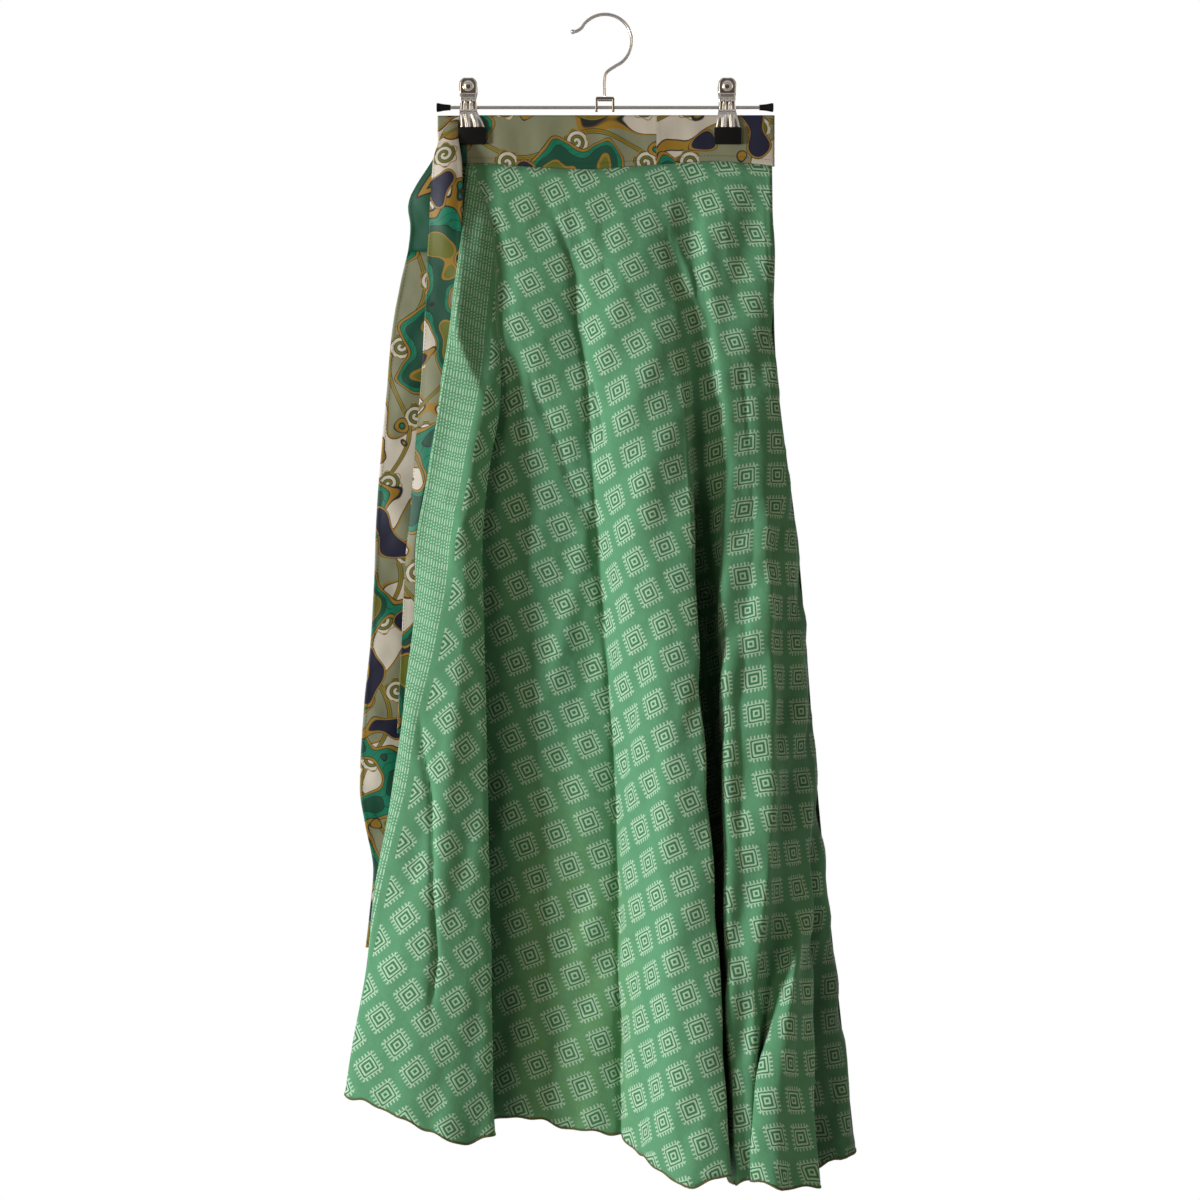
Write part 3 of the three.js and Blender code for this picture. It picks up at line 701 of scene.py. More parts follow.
rightFold = (149, [(-280, 151.2, 2), (-486, 173.5, 2), (-700, 190.5, 2), (-1012, 223, -2)])
leftFold = (-148.7, [(-280, -146.5, 4.3), (-486, -153, 6.5), (-700, -167, 8.5), (-946, -206, 10)])

# left, right, inner depth and outer depth at waist, hip, thigh, knee and hem
backLevels = [(-147.9, 147, 2, 2), (-144, 149, 6.2, 9.5), (-150, 170, 9.5, 18), (-163, 186, 13, 32),
              (-200, 214, 20, 52)]
backFolds = [(1, 0, -1006), (0.93, 0.7, -1004), (0.84, 0.1, -1001), (0.74, 1, -998), (0.63, 0, -994),
             (0.52, 0.85, -990), (0.41, 0.1, -985), (0.3, 1, -978), (0.19, 0, -970), (0.09, 0.75, -960),
             (0, 0, -950)]
underLevels = [(-147.9, 122, 0, 0), (-144, 118, 2.4, 1.4), (-150, 130, 4, 1), (-163, 142, 4.5, -0.5),
               (-198, 165, 4, -5)]
underFolds = [(0, 0, -944), (0.14, 0.9, -950), (0.27, 0.1, -956), (0.4, 1, -962), (0.55, 0, -968),
              (0.7, 0.8, -976), (0.86, 0.1, -984), (1, 0.5, -990)]


def seamHeight(x):
    return smooth([p[0] for p in seamLine], [p[1] for p in seamLine], x)


# every row of the cloth as its waist depth, waist place and lower points
def foldRows():
    def swinging(fold, levels):
        across, outward, hem = fold
        x = [left + (right - left) * across for left, right, _, _ in levels]
        y = [inner + (outer - inner) * outward for _, _, inner, outer in levels]
        return y[0], x[0], list(zip((*skirt["levels"], hem), x[1:], y[1:]))

    pitch = skirt["bandPitch"]
    rows = [(-pitch, *row) for row in frontFolds.values()] + [(0, *rightFold)]
    rows += [swinging(fold, backLevels) for fold in backFolds] + [(pitch / 2, *leftFold)]
    return rows + [swinging(fold, underLevels) for fold in underFolds]


# The rows' points in millimetres at every ring, [ring][row].
def rowPoints(rings):
    share = np.linspace(0, 1, rings + 1)
    points = []
    for waistY, waistX, lower in foldRows():
        top = float(seamHeight(waistX)) - skirt["seamGap"] / 2
        z = top + (lower[-1][0] - top) * share
        knots = [-top, *(-point[0] for point in lower)]
        x = smooth(knots, [waistX, *(point[1] for point in lower)], -z)
        y = smooth(knots, [waistY, *(point[2] for point in lower)], -z)
        points.append(np.stack([x, y, z], axis=1))
    return np.stack(points, axis=1)


rowGrid = rowPoints(skirt["rings"])
lastFront = len(frontFolds)
lastBack = lastFront + len(backFolds) + 1
lastUnder = lastBack + len(underFolds)


# A run of the cloth from one row to another. Its columns are evenly spaced near the knee, and closer
# at the sharp rows.
def clothRun(first, last, columns, sharp=()):
    fine = np.linspace(first, last, 2400)
    knee = through(rowGrid[int(skirt["rings"] * skirt["kneeShare"])][None], fine)[0]
    steps = np.linalg.norm(np.diff(knee, axis=0), axis=1)
    for row in sharp:
        steps *= 1 + skirt["sharpness"] * np.exp(-((fine[1:] - row) / 0.8) ** 2)
    length = np.concatenate([[0], np.cumsum(steps)])
    at = np.interp(np.linspace(0, length[-1], columns + 1), length, fine)
    grid = through(rowGrid, at)
    grid[0, :, 2] = seamHeight(grid[0, :, 0]) - skirt["seamGap"] / 2
    return grid, at


# Flat coordinates in metres, on the flared cut: the leading edge runs straight down.
def flatPlaces(grid, startAngle=0.0, tucked=1.0):
    across, down = runLength(grid, 1), runLength(grid, 0)
    radius = skirt["cutRadius"] + down
    angle = startAngle + across / (skirt["cutRadius"] + down.mean(axis=1, keepdims=True))
    turned = angle + math.radians(skirt["tuckTurn"]) * tucked
    aside, below = skirt["tuckShift"]
    flat = np.stack([radius * np.sin(turned) + aside * tucked, -radius * np.cos(turned) - below * tucked], -1)
    return flat * mm, across, down, float(angle[:, -1].mean())


# Soft random folds: long waves that run mostly downwards.
def softFolds(across, down, seed, height, count=26):
    chance = np.random.default_rng(seed)
    rise = np.zeros_like(across)
    for _ in range(count):
        wave = chance.uniform(16, 75)
        lean = chance.normal(0, 0.22)
        phase = chance.uniform(0, 2 * math.pi)
        swell = 0.5 + 0.5 * np.sin(down / chance.uniform(90, 240) + chance.uniform(0, 6))
        rise += np.sin((across + lean * down) * 2 * math.pi / wave + phase) * swell * wave / 45
    return rise * height


# Creases are placed in the frame's pixels on the foremost cloth. Each has its half width, its height in
# millimetres, out of the cloth where positive, and a lean: above 0 its right side is softer.
creases = {
    "borderKink": (5, 2.2, 0.2, [(446, 500), (461, 526), (449, 556)]),
    "flapCrease": (4, -4.6, 0.0, [(418, 716), (424, 751), (430, 790), (433, 860), (436, 960),
        (432, 1010)]),
    "longCreaseTop": (5, -2.6, 0.0, [(547, 199), (558, 227), (568, 248), (574, 278), (577, 323),
        (584, 354), (588, 385), (594, 425), (601, 460)]),
    "sideCrease": (5, -2.2, 0.2, [(529, 372), (537, 401), (550, 425), (560, 448), (576, 494),
        (591, 520), (595, 565)]),
    "pull": (4, -1.8, 0.0, [(576, 238), (590, 256), (604, 268), (618, 275)]),
    "shortPull": (4, -1.2, 0.0, [(626, 282), (635, 288), (645, 291)]),
    "hipValley": (8, -2.4, 0.0, [(668, 236), (675, 262), (684, 300)]),
    "hipRidge": (5, 2.2, 0.4, [(680, 244), (692, 291), (704, 338)]),
    "softTongue": (5, -1.6, 0.0, [(744, 370), (746, 400), (749, 440)]),
    "rightSoft": (5, -1.8, 0.0, [(753, 470), (754, 530), (746, 610), (742, 700), (742, 880)]),
    "waistFold": (8, 1.2, 0.0, [(716, 168), (722, 200), (727, 250)]),
    "waistDip": (8, -1.0, 0.0, [(590, 172), (596, 200), (604, 236)]),
    "hemSlit": (4, -3.0, 0.0, [(838, 1075), (838, 1100), (836, 1150)]),
}


def addCreases(grid, across):
    px, py = inFrame(grid * mm)
    rise = np.zeros(grid.shape[:2])
    rings = np.arange(grid.shape[0])
    for wide, high, lean, spots in creases.values():
        found = []
        for x, y in spots:
            away = np.hypot(px - x, py - y)
            front = np.where(away < away.min() + 4, grid[..., 1] + away, np.inf)
            ring, column = np.unravel_index(np.argmin(front), front.shape)
            found.append((ring, across[ring, column] / across[ring, -1]))
        ringAt, share = np.array(sorted(found)).T
        ringAt = ringAt + np.arange(len(found)) * 1e-3
        centre = np.interp(rings, ringAt, share) * across[:, -1]
        fade = max(3.0, (ringAt[-1] - ringAt[0]) * 0.18)
        fromEnds = np.array([rings - ringAt[0], ringAt[-1] - rings]) + 2
        strength = np.clip(fromEnds / fade, 0, 1).prod(axis=0)
        strength = strength * strength * (3 - 2 * strength)
        offset = across - centre[:, None]
        offset = offset / (wide * (1 + lean * np.sign(offset)))
        # sharp at its line, with concave sides
        rise += high * strength[:, None] * np.exp(-np.sqrt(offset**2 + 0.04) * 1.6 + 0.32)
    return rise


# small dips and rises of the bottom hem
def hemWaves(across, down):
    wave = 1.3 * np.sin(across / 11.0) + 1.1 * np.sin(across / 6.1 + 2.0) + 0.7 * np.sin(across / 3.7 + 1.0)
    near = np.clip(1 - (down[-1] - down) / 60, 0, 1)
    return wave * near * near * np.clip(across / 15, 0, 1) * np.clip((across[:, -1:] - across) / 15, 0, 1)


# How deep each point lies behind the cloth to the left of it, from 0 to 1: the share of painted shade in the
# folds.
def paintedShadeDepth(grid, full=34.0, fall=0.8, reach=45.0):
    hollow = np.zeros(grid.shape[:2])
    for ring, (x, y) in enumerate(zip(grid[..., 0], grid[..., 1])):
        apart = x[:, None] - x[None]
        rim = np.where((apart >= 0) & (apart < reach), y[None] + apart * fall, np.inf).min(axis=1)
        hollow[ring] = np.clip((y - rim - 2) / full, 0, 1)
    return hollow


leadingEdge = {"hemWidth": 7.5, "hemRise": 0.45, "softness": 0.5, "stitchInset": 1.2}

# rows from and to, columns of the mesh, and the soft folds: their seed, height and the ends kept quiet
runs = {
    "front": {"rows": (0, lastFront), "columns": 400, "seed": 4, "high": 0.42, "quiet": ()},
    "back": {"rows": (lastFront, lastBack), "columns": 230, "seed": 11, "high": 0.42, "quiet": (0, -1)},
    "underlap": {"rows": (lastBack, lastUnder), "columns": 150, "seed": 17, "high": 0.2, "quiet": (0,)},
}
sharpRows = ("flapLip", "crease", "lipFront", "lip", "ridgeRight", "gussetLeft", "gussetLip")
tuckRow = "flapUnder"


# One run of the skirt, sewn on after the run that ends at startAngle of the flat cut.
def addRun(name, startAngle=0.0):
    values = runs[name]
    front = name == "front"
    names = list(frontFolds)
    sharp = [names.index(row) for row in sharpRows] if front else ()
    grid, rows = clothRun(*values["rows"], values["columns"], sharp)
    tucked = np.clip(rows - names.index(tuckRow), 0, 1) if front else 1.0
    flat, across, down, angle = flatPlaces(grid, startAngle, tucked)
    rise = softFolds(across, down, values["seed"], values["high"])
    for end in values["quiet"]:
        rise *= np.clip(abs(across - across[:, end:][:, :1]) / skirt["quiet"], 0, 1)
    if front:
        rise += addCreases(grid, across)
        rise += leadingEdge["hemRise"] / (
            1 + np.exp((across - leadingEdge["hemWidth"]) / leadingEdge["softness"]))
        grid[..., 2] += hemWaves(across, down)
    rise *= np.clip(down / skirt["ease"], 0, 1)
    grid = grid - gridNormals(grid) * rise[..., None]
    piece = sheetObject(name + "_cloth", grid * mm, flat, ("cloth", "reverse", "hemThread"),
                        skirt["clothWall"])
    if front:
        # the share of painted shade in the folds, kept on the points for the cloth's material
        layer = piece.data.attributes.new("hollow", "FLOAT", "POINT")
        layer.data.foreach_set("value", paintedShadeDepth(grid).ravel())
    place(piece, "skirt_cloth", [name + "_panel"])
    return piece, grid, across, angle


frontCloth, frontGrid, frontAcross, frontAngle = addRun("front")
backCloth, backGrid, _, backAngle = addRun("back", frontAngle)
underlapCloth, underlapGrid, _, _ = addRun("underlap", backAngle)
print("skirt cloth made, sector angles", round(frontAngle, 3), round(backAngle, 3))


# Geometry Nodes that lay threads along a line of points: each point carries its facing, and the tree
# spaces the stitches, turns them to the line and the facing, and realizes them.
def stitchTree(finishName):
    tree = bpy.data.node_groups.new("stitches_" + finishName, "GeometryNodeTree")
    tree.interface.new_socket("Line", in_out="INPUT", socket_type="NodeSocketGeometry")
    for label, value in (("Pitch", 3 * mm), ("Length", 2 * mm), ("Thread", 0.3 * mm), ("Slant", 0.0),
                         ("Stand", 0.0)):
        socket = tree.interface.new_socket(label, in_out="INPUT", socket_type="NodeSocketFloat")
        socket.default_value = value
    tree.interface.new_socket("Stitches", in_out="OUTPUT", socket_type="NodeSocketGeometry")

    def node(kind, inputs=(), settings=(), out=0):
        return addNode(tree, kind, settings, inputs).outputs[out]

    start = addNode(tree, "NodeGroupInput").outputs
    facing = node("GeometryNodeInputNamedAttribute", {"Name": "facing"}, {"data_type": "FLOAT_VECTOR"})
    curve = node("GeometryNodeMeshToCurve", {"Mesh": start["Line"]})
    points = addNode(tree, "GeometryNodeCurveToPoints", {"mode": "LENGTH"},
                     {"Curve": curve, "Length": start["Pitch"]}).outputs
    lift = node("ShaderNodeVectorMath", {0: facing, "Scale": start["Stand"]}, {"operation": "SCALE"})
    lifted = node("GeometryNodeSetPosition", {"Geometry": points["Points"], "Offset": lift})
    along = node("FunctionNodeAlignRotationToVector", {"Vector": points["Tangent"]}, {"axis": "X"})
    outwards = node("FunctionNodeAlignRotationToVector", {"Rotation": along, "Vector": facing},
                    {"axis": "Z", "pivot_axis": "X"})
    spin = node("FunctionNodeAxisAngleToRotation", {"Axis": (0, 0, 1), "Angle": start["Slant"]})
    slant = node("FunctionNodeRotateRotation", {"Rotation": outwards, "Rotate By": spin},
                 {"rotation_space": "LOCAL"})
    thread = node("GeometryNodeMeshUVSphere", {"Segments": 6, "Rings": 5, "Radius": 0.5}, out="Mesh")
    shape = node("ShaderNodeCombineXYZ", {"X": start["Length"], "Y": start["Thread"], "Z": start["Thread"]})
    laid = node("GeometryNodeInstanceOnPoints", {
        "Points": lifted, "Instance": thread, "Rotation": slant, "Scale": shape})
    real = node("GeometryNodeRealizeInstances", {"Geometry": laid})
    smoothed = node("GeometryNodeSetShadeSmooth", {"Geometry": real})
    painted = node("GeometryNodeSetMaterial", {"Geometry": smoothed, "Material": finishes[finishName]})
    addNode(tree, "NodeGroupOutput", inputs={0: painted})
    return tree


stitchTrees = {name: stitchTree(name) for name in ("hemThread", "greenThread", "darkThread")}


# Runs of points in millimetres with their facings, as edges that a tree can follow.
def lineObject(name, lines):
    points, edges, facings = [], [], []
    for line, facing in lines:
        start = len(points)
        points += [tuple(point * mm) for point in line]
        facings += [tuple(way) for way in facing]
        edges += [(start + i, start + i + 1) for i in range(len(line) - 1)]
    mesh = bpy.data.meshes.new(name)
    mesh.from_pydata(points, edges, [])
    layer = mesh.attributes.new("facing", "FLOAT_VECTOR", "POINT")
    layer.data.foreach_set("vector", np.asarray(facings, dtype=np.float32).ravel())
    return addObject(name, mesh)


# A line of stitches, with its sizes in millimetres and its slant in radians.
def addStitches(name, finishName, lines, slotName, slant=0.0, **sizes):
    piece = lineObject(name, lines)
    modifier = piece.modifiers.new("stitches", "NODES")
    modifier.node_group = stitchTrees[finishName]
    values = {"slant": slant, **{key: size * mm for key, size in sizes.items()}}
    for item in modifier.node_group.interface.items_tree:
        if item.name.lower() in values:
            modifier[item.identifier] = float(values[item.name.lower()])
    bpy.context.view_layer.update()
    made = bpy.data.meshes.new_from_object(piece.evaluated_get(bpy.context.evaluated_depsgraph_get()))
    piece.modifiers.clear()
    old, piece.data = piece.data, made
    bpy.data.meshes.remove(old)
    if not made.materials:
        made.materials.append(finishes[finishName])
    return place(piece, slotName)


# the faces between closed rings of points, and over both ends
def ringFaces(count, sides):
    faces = [tuple(range(sides - 1, -1, -1)), tuple((count - 1) * sides + j for j in range(sides))]
    for i in range(0, (count - 1) * sides, sides):
        faces += [(i + j, i + (j + 1) % sides, i + sides + (j + 1) % sides, i + sides + j)
                  for j in range(sides)]
    return faces


roundEnd = np.radians((12, 35, 60))     # the rings that round a tube's end


# a tube through points in millimetres, with rounded ends
def tube(points, radius, sides):
    points = np.asarray(points, dtype=float)
    tangents = np.gradient(points, axis=0)
    tangents /= np.linalg.norm(tangents, axis=1, keepdims=True)
    heads = np.cos(roundEnd)[:, None] * radius
    points = np.concatenate(
        [points[0] - tangents[0] * heads, points, points[-1] + tangents[-1] * heads[::-1]])
    caps = np.sin(roundEnd) * radius
    radii = np.concatenate([caps, np.full(len(tangents), radius), caps[::-1]])
    tangents = np.concatenate([[tangents[0]] * 3, tangents, [tangents[-1]] * 3])
    side = np.cross(tangents[0], (0, 1, 0) if abs(tangents[0][1]) < 0.9 else (1, 0, 0))
    turns = np.linspace(0, 2 * math.pi, sides, endpoint=False)[:, None]
    rings = []
    for point, reach, tangent in zip(points, radii, tangents):
        side = side - tangent * np.dot(side, tangent)
        side /= np.linalg.norm(side)
        rings.append(point + reach * (np.cos(turns) * side + np.sin(turns) * np.cross(tangent, side)))
    return np.concatenate(rings), ringFaces(len(rings), sides)


def joined(name, parts, material):
    points, faces = [], []
    for vertices, sides in parts:
        start = len(points)
        points += [tuple(np.asarray(point) * mm) for point in vertices]
        faces += [tuple(start + i for i in side) for side in sides]
    return meshObject(name, points, faces, (material,))


# a closed shape turned round an axis: profile of (along, radius) from one end to the other
def turned(profile, sides, axis, centre):
    along, first, second = np.roll(np.eye(3), -"xy".index(axis), axis=0)
    turns = np.linspace(0, 2 * math.pi, sides, endpoint=False)[:, None]
    rings = [np.asarray(centre) + along * a + r * (np.cos(turns) * first + np.sin(turns) * second)
             for a, r in profile]
    return np.concatenate(rings), ringFaces(len(rings), sides)


def roundedProfile(knots, steps):
    knots = np.asarray(knots, dtype=float)
    at = np.linspace(0, len(knots) - 1, (len(knots) - 1) * steps + 1)
    found = through(np.concatenate([knots, np.zeros((len(knots), 1))], axis=1)[None], at)[0]
    return [tuple(spot[:2]) for spot in found]


# The rolled edge along a bottom hem, and the thread wound over it.
hemRoll = {"radius": 0.8, "pitch": 1.9, "length": 2.4, "thread": 0.5, "slant": 1.15, "sides": 7,
           "inset": 0.15, "step": 2.4}


def addHem(name, grid):
    run = grid[-1] + (grid[-2] - grid[-1]) * hemRoll["inset"]
    distance = runLength(run[None], 1)[0]
    at = np.linspace(0, distance[-1], int(distance[-1] / hemRoll["step"]))
    fine = np.stack([np.interp(at, distance, run[:, i]) for i in range(3)], axis=1)
    roll = joined(name + "_roll", [tube(fine, hemRoll["radius"], hemRoll["sides"])], "hemThread")
    place(roll, "skirt_cloth")
    stitches = addStitches(
        name + "_stitches", "hemThread", [(run, -gridNormals(grid)[-1])], "skirt_cloth",
        hemRoll["slant"], pitch=hemRoll["pitch"], length=hemRoll["length"], thread=hemRoll["thread"],
        stand=hemRoll["radius"] * 0.75)
    return [roll, stitches]


frontHem = addHem("front_hem", frontGrid)
backHem = addHem("back_hem", backGrid)
underlapHem = addHem("underlap_hem", underlapGrid)


# A line of stitches down the narrow hem of the leading edge.
def addEdgeStitches():
    rows = range(3, frontGrid.shape[0] - 1)
    inset = leadingEdge["hemWidth"] - leadingEdge["stitchInset"]
    at = {i: np.interp(inset, frontAcross[i], np.arange(frontAcross[i].size)) for i in rows}

    def along(values):
        return np.array([[np.interp(at[i], np.arange(values.shape[1]), values[i, :, k]) for k in range(3)]
                         for i in rows])

    return addStitches("edge_stitches", "greenThread", [(along(frontGrid), along(-gridNormals(frontGrid)))],
                       "skirt_cloth", pitch=3.0, length=2.2, thread=0.45, stand=0.4)


edgeStitches = addEdgeStitches()
print("hems sewn")

band = {
    "top": -89, "front": -130, "right": 149, "left": -148, "underEnd": 125,
    "wall": 1.0, "step": 2.5, "rows": 22, "pucker": 0.16, "topStitch": 4.8, "join": 176,
}


# The waistband: one strip in a flat spiral of three layers, as the skirt goes round.
def addBand():
    pitch = skirt["bandPitch"]
    plan = []

    def straight(start, end, y):
        plan.extend((x, y) for x in np.linspace(start, end, int(abs(end - start) / band["step"]) + 1))

    def turn(x, y, radius, side):
        plan.extend((x + side * radius * math.sin(angle), y - side * radius * math.cos(angle))
                    for angle in np.linspace(0, math.pi, 12)[1:-1])

    straight(band["front"], band["right"], -pitch)
    turn(band["right"], 0, pitch, 1)
    straight(band["right"], band["left"], pitch)
    turn(band["left"], pitch / 2, pitch / 2, -1)
    straight(band["left"], band["underEnd"], 0)
    plan = np.array(plan)
    share = np.linspace(0, 1, band["rows"] + 1)[:, None]
    foot = seamHeight(plan[:, 0]) + skirt["seamGap"] / 2
    z = band["top"] + (foot - band["top"])[None] * share
    grid = np.stack([np.broadcast_to(plan[:, 0], z.shape), np.broadcast_to(plan[:, 1], z.shape), z], axis=-1)
    along, down = runLength(grid, 1), runLength(grid, 0)
    frontLength = band["right"] - band["front"]
    chance = np.random.default_rng(5)
    rise = np.zeros(z.shape)
    for _ in range(14):
        wave = chance.uniform(14, 60)
        rise += np.sin(along * 2 * math.pi / wave + down * chance.normal(0, 0.05) + chance.uniform(0, 6.3))
    rise *= band["pucker"] * np.sin(math.pi * share)
    # a faint ridge where the cloth is joined, and a dip along the top stitching
    rise += 0.35 * np.exp(-((along - band["join"]) / 1.6) ** 2)
    rise -= 0.3 * np.exp(-((down[-1:] - down - band["topStitch"]) / 1.1) ** 2)
    rise *= along < frontLength + 4
    grid[..., 1] -= np.clip(rise, -0.3, 0.8)
    flat = np.stack([along, down], axis=-1) * mm
    piece = sheetObject("waist_band", grid * mm, flat, ("band",), band["wall"])
    place(piece, "band_cloth", ["waistband"])

    front = int((along[0] < frontLength).sum())
    line = np.stack([plan[:front, 0], np.full(front, -pitch - band["wall"] / 2),
                     foot[:front] + band["topStitch"]], axis=1)
    sewn = addStitches("band_stitches", "darkThread", [(line, np.tile((0.0, -1.0, 0.0), (front, 1)))],
                       "band_cloth", pitch=3.2, length=2.3, thread=0.42, stand=-0.05)
    return piece, sewn, grid


waistBand, bandStitches, bandGrid = addBand()

# z, left, right, depth at the left, depth at the right, swell forwards
tieRows = {
    "front_tie": [
        (-93, -136, -131, -2.6, -2.6, 0.2), (-105, -145, -131, -5, -6, 2), (-118, -149.5, -129.5, -7, -9, 3),
        (-131, -153, -127.5, -8, -12, 4), (-146, -154, -126.5, -9, -14, 4), (-162, -155, -126, -9, -14.5, 4),
        (-184, -156, -127, -8.6, -15, 3), (-223, -158, -129, -8, -14.5, 2),
        (-263, -160, -132, -7, -11.5, 1), (-318, -163, -139, -8, -12, 0.8),
        (-380, -168, -150.5, -9.5, -15, 0.8), (-431, -172, -162, -11, -15.5, 0.5),
        (-485, -177, -169, -12, -14, 0.4), (-560, -181, -160, -9.5, -8, 0.6),
        (-640, -185, -156, -8, -5, 0.8)],
    "back_tie_upper": [
        (-112, -149, -141, 4, 4, 0), (-123, -152, -141, 5, 4.6, 0.3), (-136, -160, -142, 7, 5.5, 1),
        (-151, -170, -141, 9, 6, 2), (-161, -175, -140, 10, 7, 3), (-170, -176.5, -138, 11, 8, 3),
        (-186, -174.5, -136, 12, 9.5, 2), (-209, -177, -134, 13, 12, 1)],
    "back_tie_lower": [
        (-209, -177, -134, 13, 12, 1), (-238, -184, -139, 14, 13, 1), (-278, -191, -145, 15, 14, 2),
        (-320, -195, -149, 16, 16, 2.5), (-385, -201, -155, 18, 20, 2), (-450, -206, -160, 19, 22, 3),
        (-505, -208, -162, 20, 24, 1), (-557, -211, -164, 21, 25, 3), (-615, -217, -170, 22, 26, 2),
        (-690, -221, -174, 22, 26, 3), (-725, -216, -170, 23, 26, 1.5), (-765, -209, -163, 24, 28, 3),
        (-800, -212, -166, 24, 28, 2), (-835, -216, -170, 24, 28, 2)],
}
tie = {"wall": 0.9, "columns": 34, "step": 5.0, "edge": 3.0, "edgeHigh": 0.3, "wavesHigh": 0.13}


def addTie(name, material, slotName, node, seed):
    rows = np.array(tieRows[name], dtype=float)
    heights = -rows[:, 0]
    rings = int((heights[-1] - heights[0]) / tie["step"])
    z = np.linspace(heights[0], heights[-1], rings + 1)
    left, right, leftY, rightY, swell = (smooth(heights, rows[:, k], z)[:, None] for k in range(1, 6))
    t = np.linspace(0, 1, tie["columns"] + 1)[None]
    x = left + (right - left) * t
    y = leftY + (rightY - leftY) * t - swell * np.sin(math.pi * t)
    grid = np.stack([x, y, np.broadcast_to(-z[:, None], x.shape)], axis=-1)
    across, down = runLength(grid, 1), runLength(grid, 0)
    wide = across[:, -1:]
    chance = np.random.default_rng(seed)
    rise = np.zeros(x.shape)
    for _ in range(16):
        wave, lean = chance.uniform(12, 48), chance.normal(0, 0.5)
        rise += np.sin((across + lean * down) * 2 * math.pi / wave + chance.uniform(0, 6.3)) * wave / 30
    fromEdge = np.minimum(across, wide - across)
    rise = rise * tie["wavesHigh"] + tie["edgeHigh"] / (1 + np.exp((fromEdge - tie["edge"]) / 0.4))
    rise *= np.clip(down / 25, 0, 1) * np.clip(wide / 30, 0.2, 1)
    grid = grid - gridNormals(grid) * rise[..., None]
    piece = sheetObject(name, grid * mm, np.stack([down, across], axis=-1) * mm, (material,), tie["wall"])
    place(piece, slotName, [node])
    facing = -gridNormals(grid)[2:-1, 2]
    sewn = addStitches(name + "_stitches", "darkThread", [(grid[2:-1, 2] + facing * tie["wall"] / 2, facing)],
                       slotName, pitch=3.4, length=2.3, thread=0.36)
    long = float(down[-1].mean())
    declareSheet(piece, (float(wide.max()) * mm, long * mm), float(wide.mean()) * long * mm * mm)


def declareSheet(piece, flat, area=None):
    print(piece.name, "flat", [round(size, 3) for size in flat], "area", round(area or flat[0] * flat[1], 4))


addTie("front_tie", "tieFront", "band_cloth", "tie_front", 3)
addTie("back_tie_upper", "plainGreen", "plain_green_cloth", "tie_back_upper", 8)
addTie("back_tie_lower", "tieBack", "band_cloth", "tie_back_lower", 9)
print("band and ties sewn")


# The cut of a run: a sector of a ring, from the waist's radius out to the hem's.
def declareCloth(piece, grid, angle):
    inner = skirt["cutRadius"] * mm
    outer = inner + float(runLength(grid, 0)[-1].mean()) * mm
    flat = (2 * outer * math.sin(angle / 2), outer - inner * math.cos(angle / 2))
    declareSheet(piece, flat, angle / 2 * (outer**2 - inner**2))


declareCloth(frontCloth, frontGrid, frontAngle)
declareCloth(backCloth, backGrid, backAngle - frontAngle)
underAngle = float(runLength(underlapGrid, 1)[-1, -1] / (skirt["cutRadius"] + skirt["underLength"]))
declareCloth(underlapCloth, underlapGrid, underAngle)
bandSize = (float(runLength(bandGrid, 1)[0, -1]) * mm, float(runLength(bandGrid, 0)[-1].mean()) * mm)
declareSheet(waistBand, bandSize)

hanger = {
    "rodHeight": -81.7, "rodRadius": 1.5, "rodEnd": 148.0,
    "hookRadius": 24.0, "hookWire": 1.5, "hookBall": 2.1,
    "yokeTop": -72.6, "yokeHalf": 8.6, "yokeWall": 2.2, "yokeDepth": 3.4, "yokeCorner": 1.2, "yokeRoof": 3.0,
    "clips": {"left": (-121.9, 3.6), "right": (109.0, 0.4)},    # place, and how far the pads stand aside
    "rivetHeight": -63.4, "plateWall": 1.0,
    "padWidth": 24.0, "padHeight": 15.0, "padWall": 3.0, "padCorner": 1.6, "padEdge": 0.5,
    "bandHalf": 0.6, "gap": 0.3,        # half the band's wall, and between pieces that meet
}


def addHook():
    radius, wire = hanger["hookRadius"], hanger["hookWire"]
    bend = [math.radians(degrees) for degrees in range(150, -67, -12)]
    points = [(-29, 0, -14.2), (-25.5, 0, -13.6)]
    points += [(radius * math.cos(a), 0, wire - radius + radius * math.sin(a)) for a in bend]
    points += [(1.6, 0, -50.5), (0, 0, -56), (0, 0, hanger["yokeTop"] + hanger["gap"])]
    fine = through(np.array(points, dtype=float)[None], np.linspace(0, len(points) - 1, 190))[0]
    ball = hanger["hookBall"]
    bead = turned([(math.sin(a) * ball, math.cos(a) * ball) for a in np.radians(range(-84, 85, 12))],
                  18, "x", (-28.6, 0, -14.1))
    place(joined("hook_wire", [tube(fine, wire, 16), bead], "chrome"), "chrome", ["hook"])


# The yoke: a strip bent over the rod, with rounded corners.
def addYoke():
    half, wall, depth = hanger["yokeHalf"], hanger["yokeWall"], hanger["yokeDepth"]
    top, corner = hanger["yokeTop"], hanger["yokeCorner"]
    foot, roof = hanger["rodHeight"] - depth, top - hanger["yokeRoof"]
    inside = half - wall
    right = [(half - corner, top), (half, top - corner), (half, foot), (inside, foot), (inside, roof)]
    outline = right + [(-x, z) for x, z in reversed(right)]
    mesh = bmesh.new()
    front, back = ([mesh.verts.new((x * mm, y * mm, z * mm)) for x, z in outline] for y in (-depth, depth))
    mesh.faces.new(front)
    mesh.faces.new(list(reversed(back)))
    for i in range(len(outline)):
        k = (i + 1) % len(outline)
        mesh.faces.new((front[k], front[i], back[i], back[k]))
    bmesh.ops.recalc_face_normals(mesh, faces=mesh.faces)
    piece = bmeshObject("yoke_strap", mesh, "chrome")
    addBevel(piece, 0.45, 3)
    place(piece, "chrome", ["yoke"])


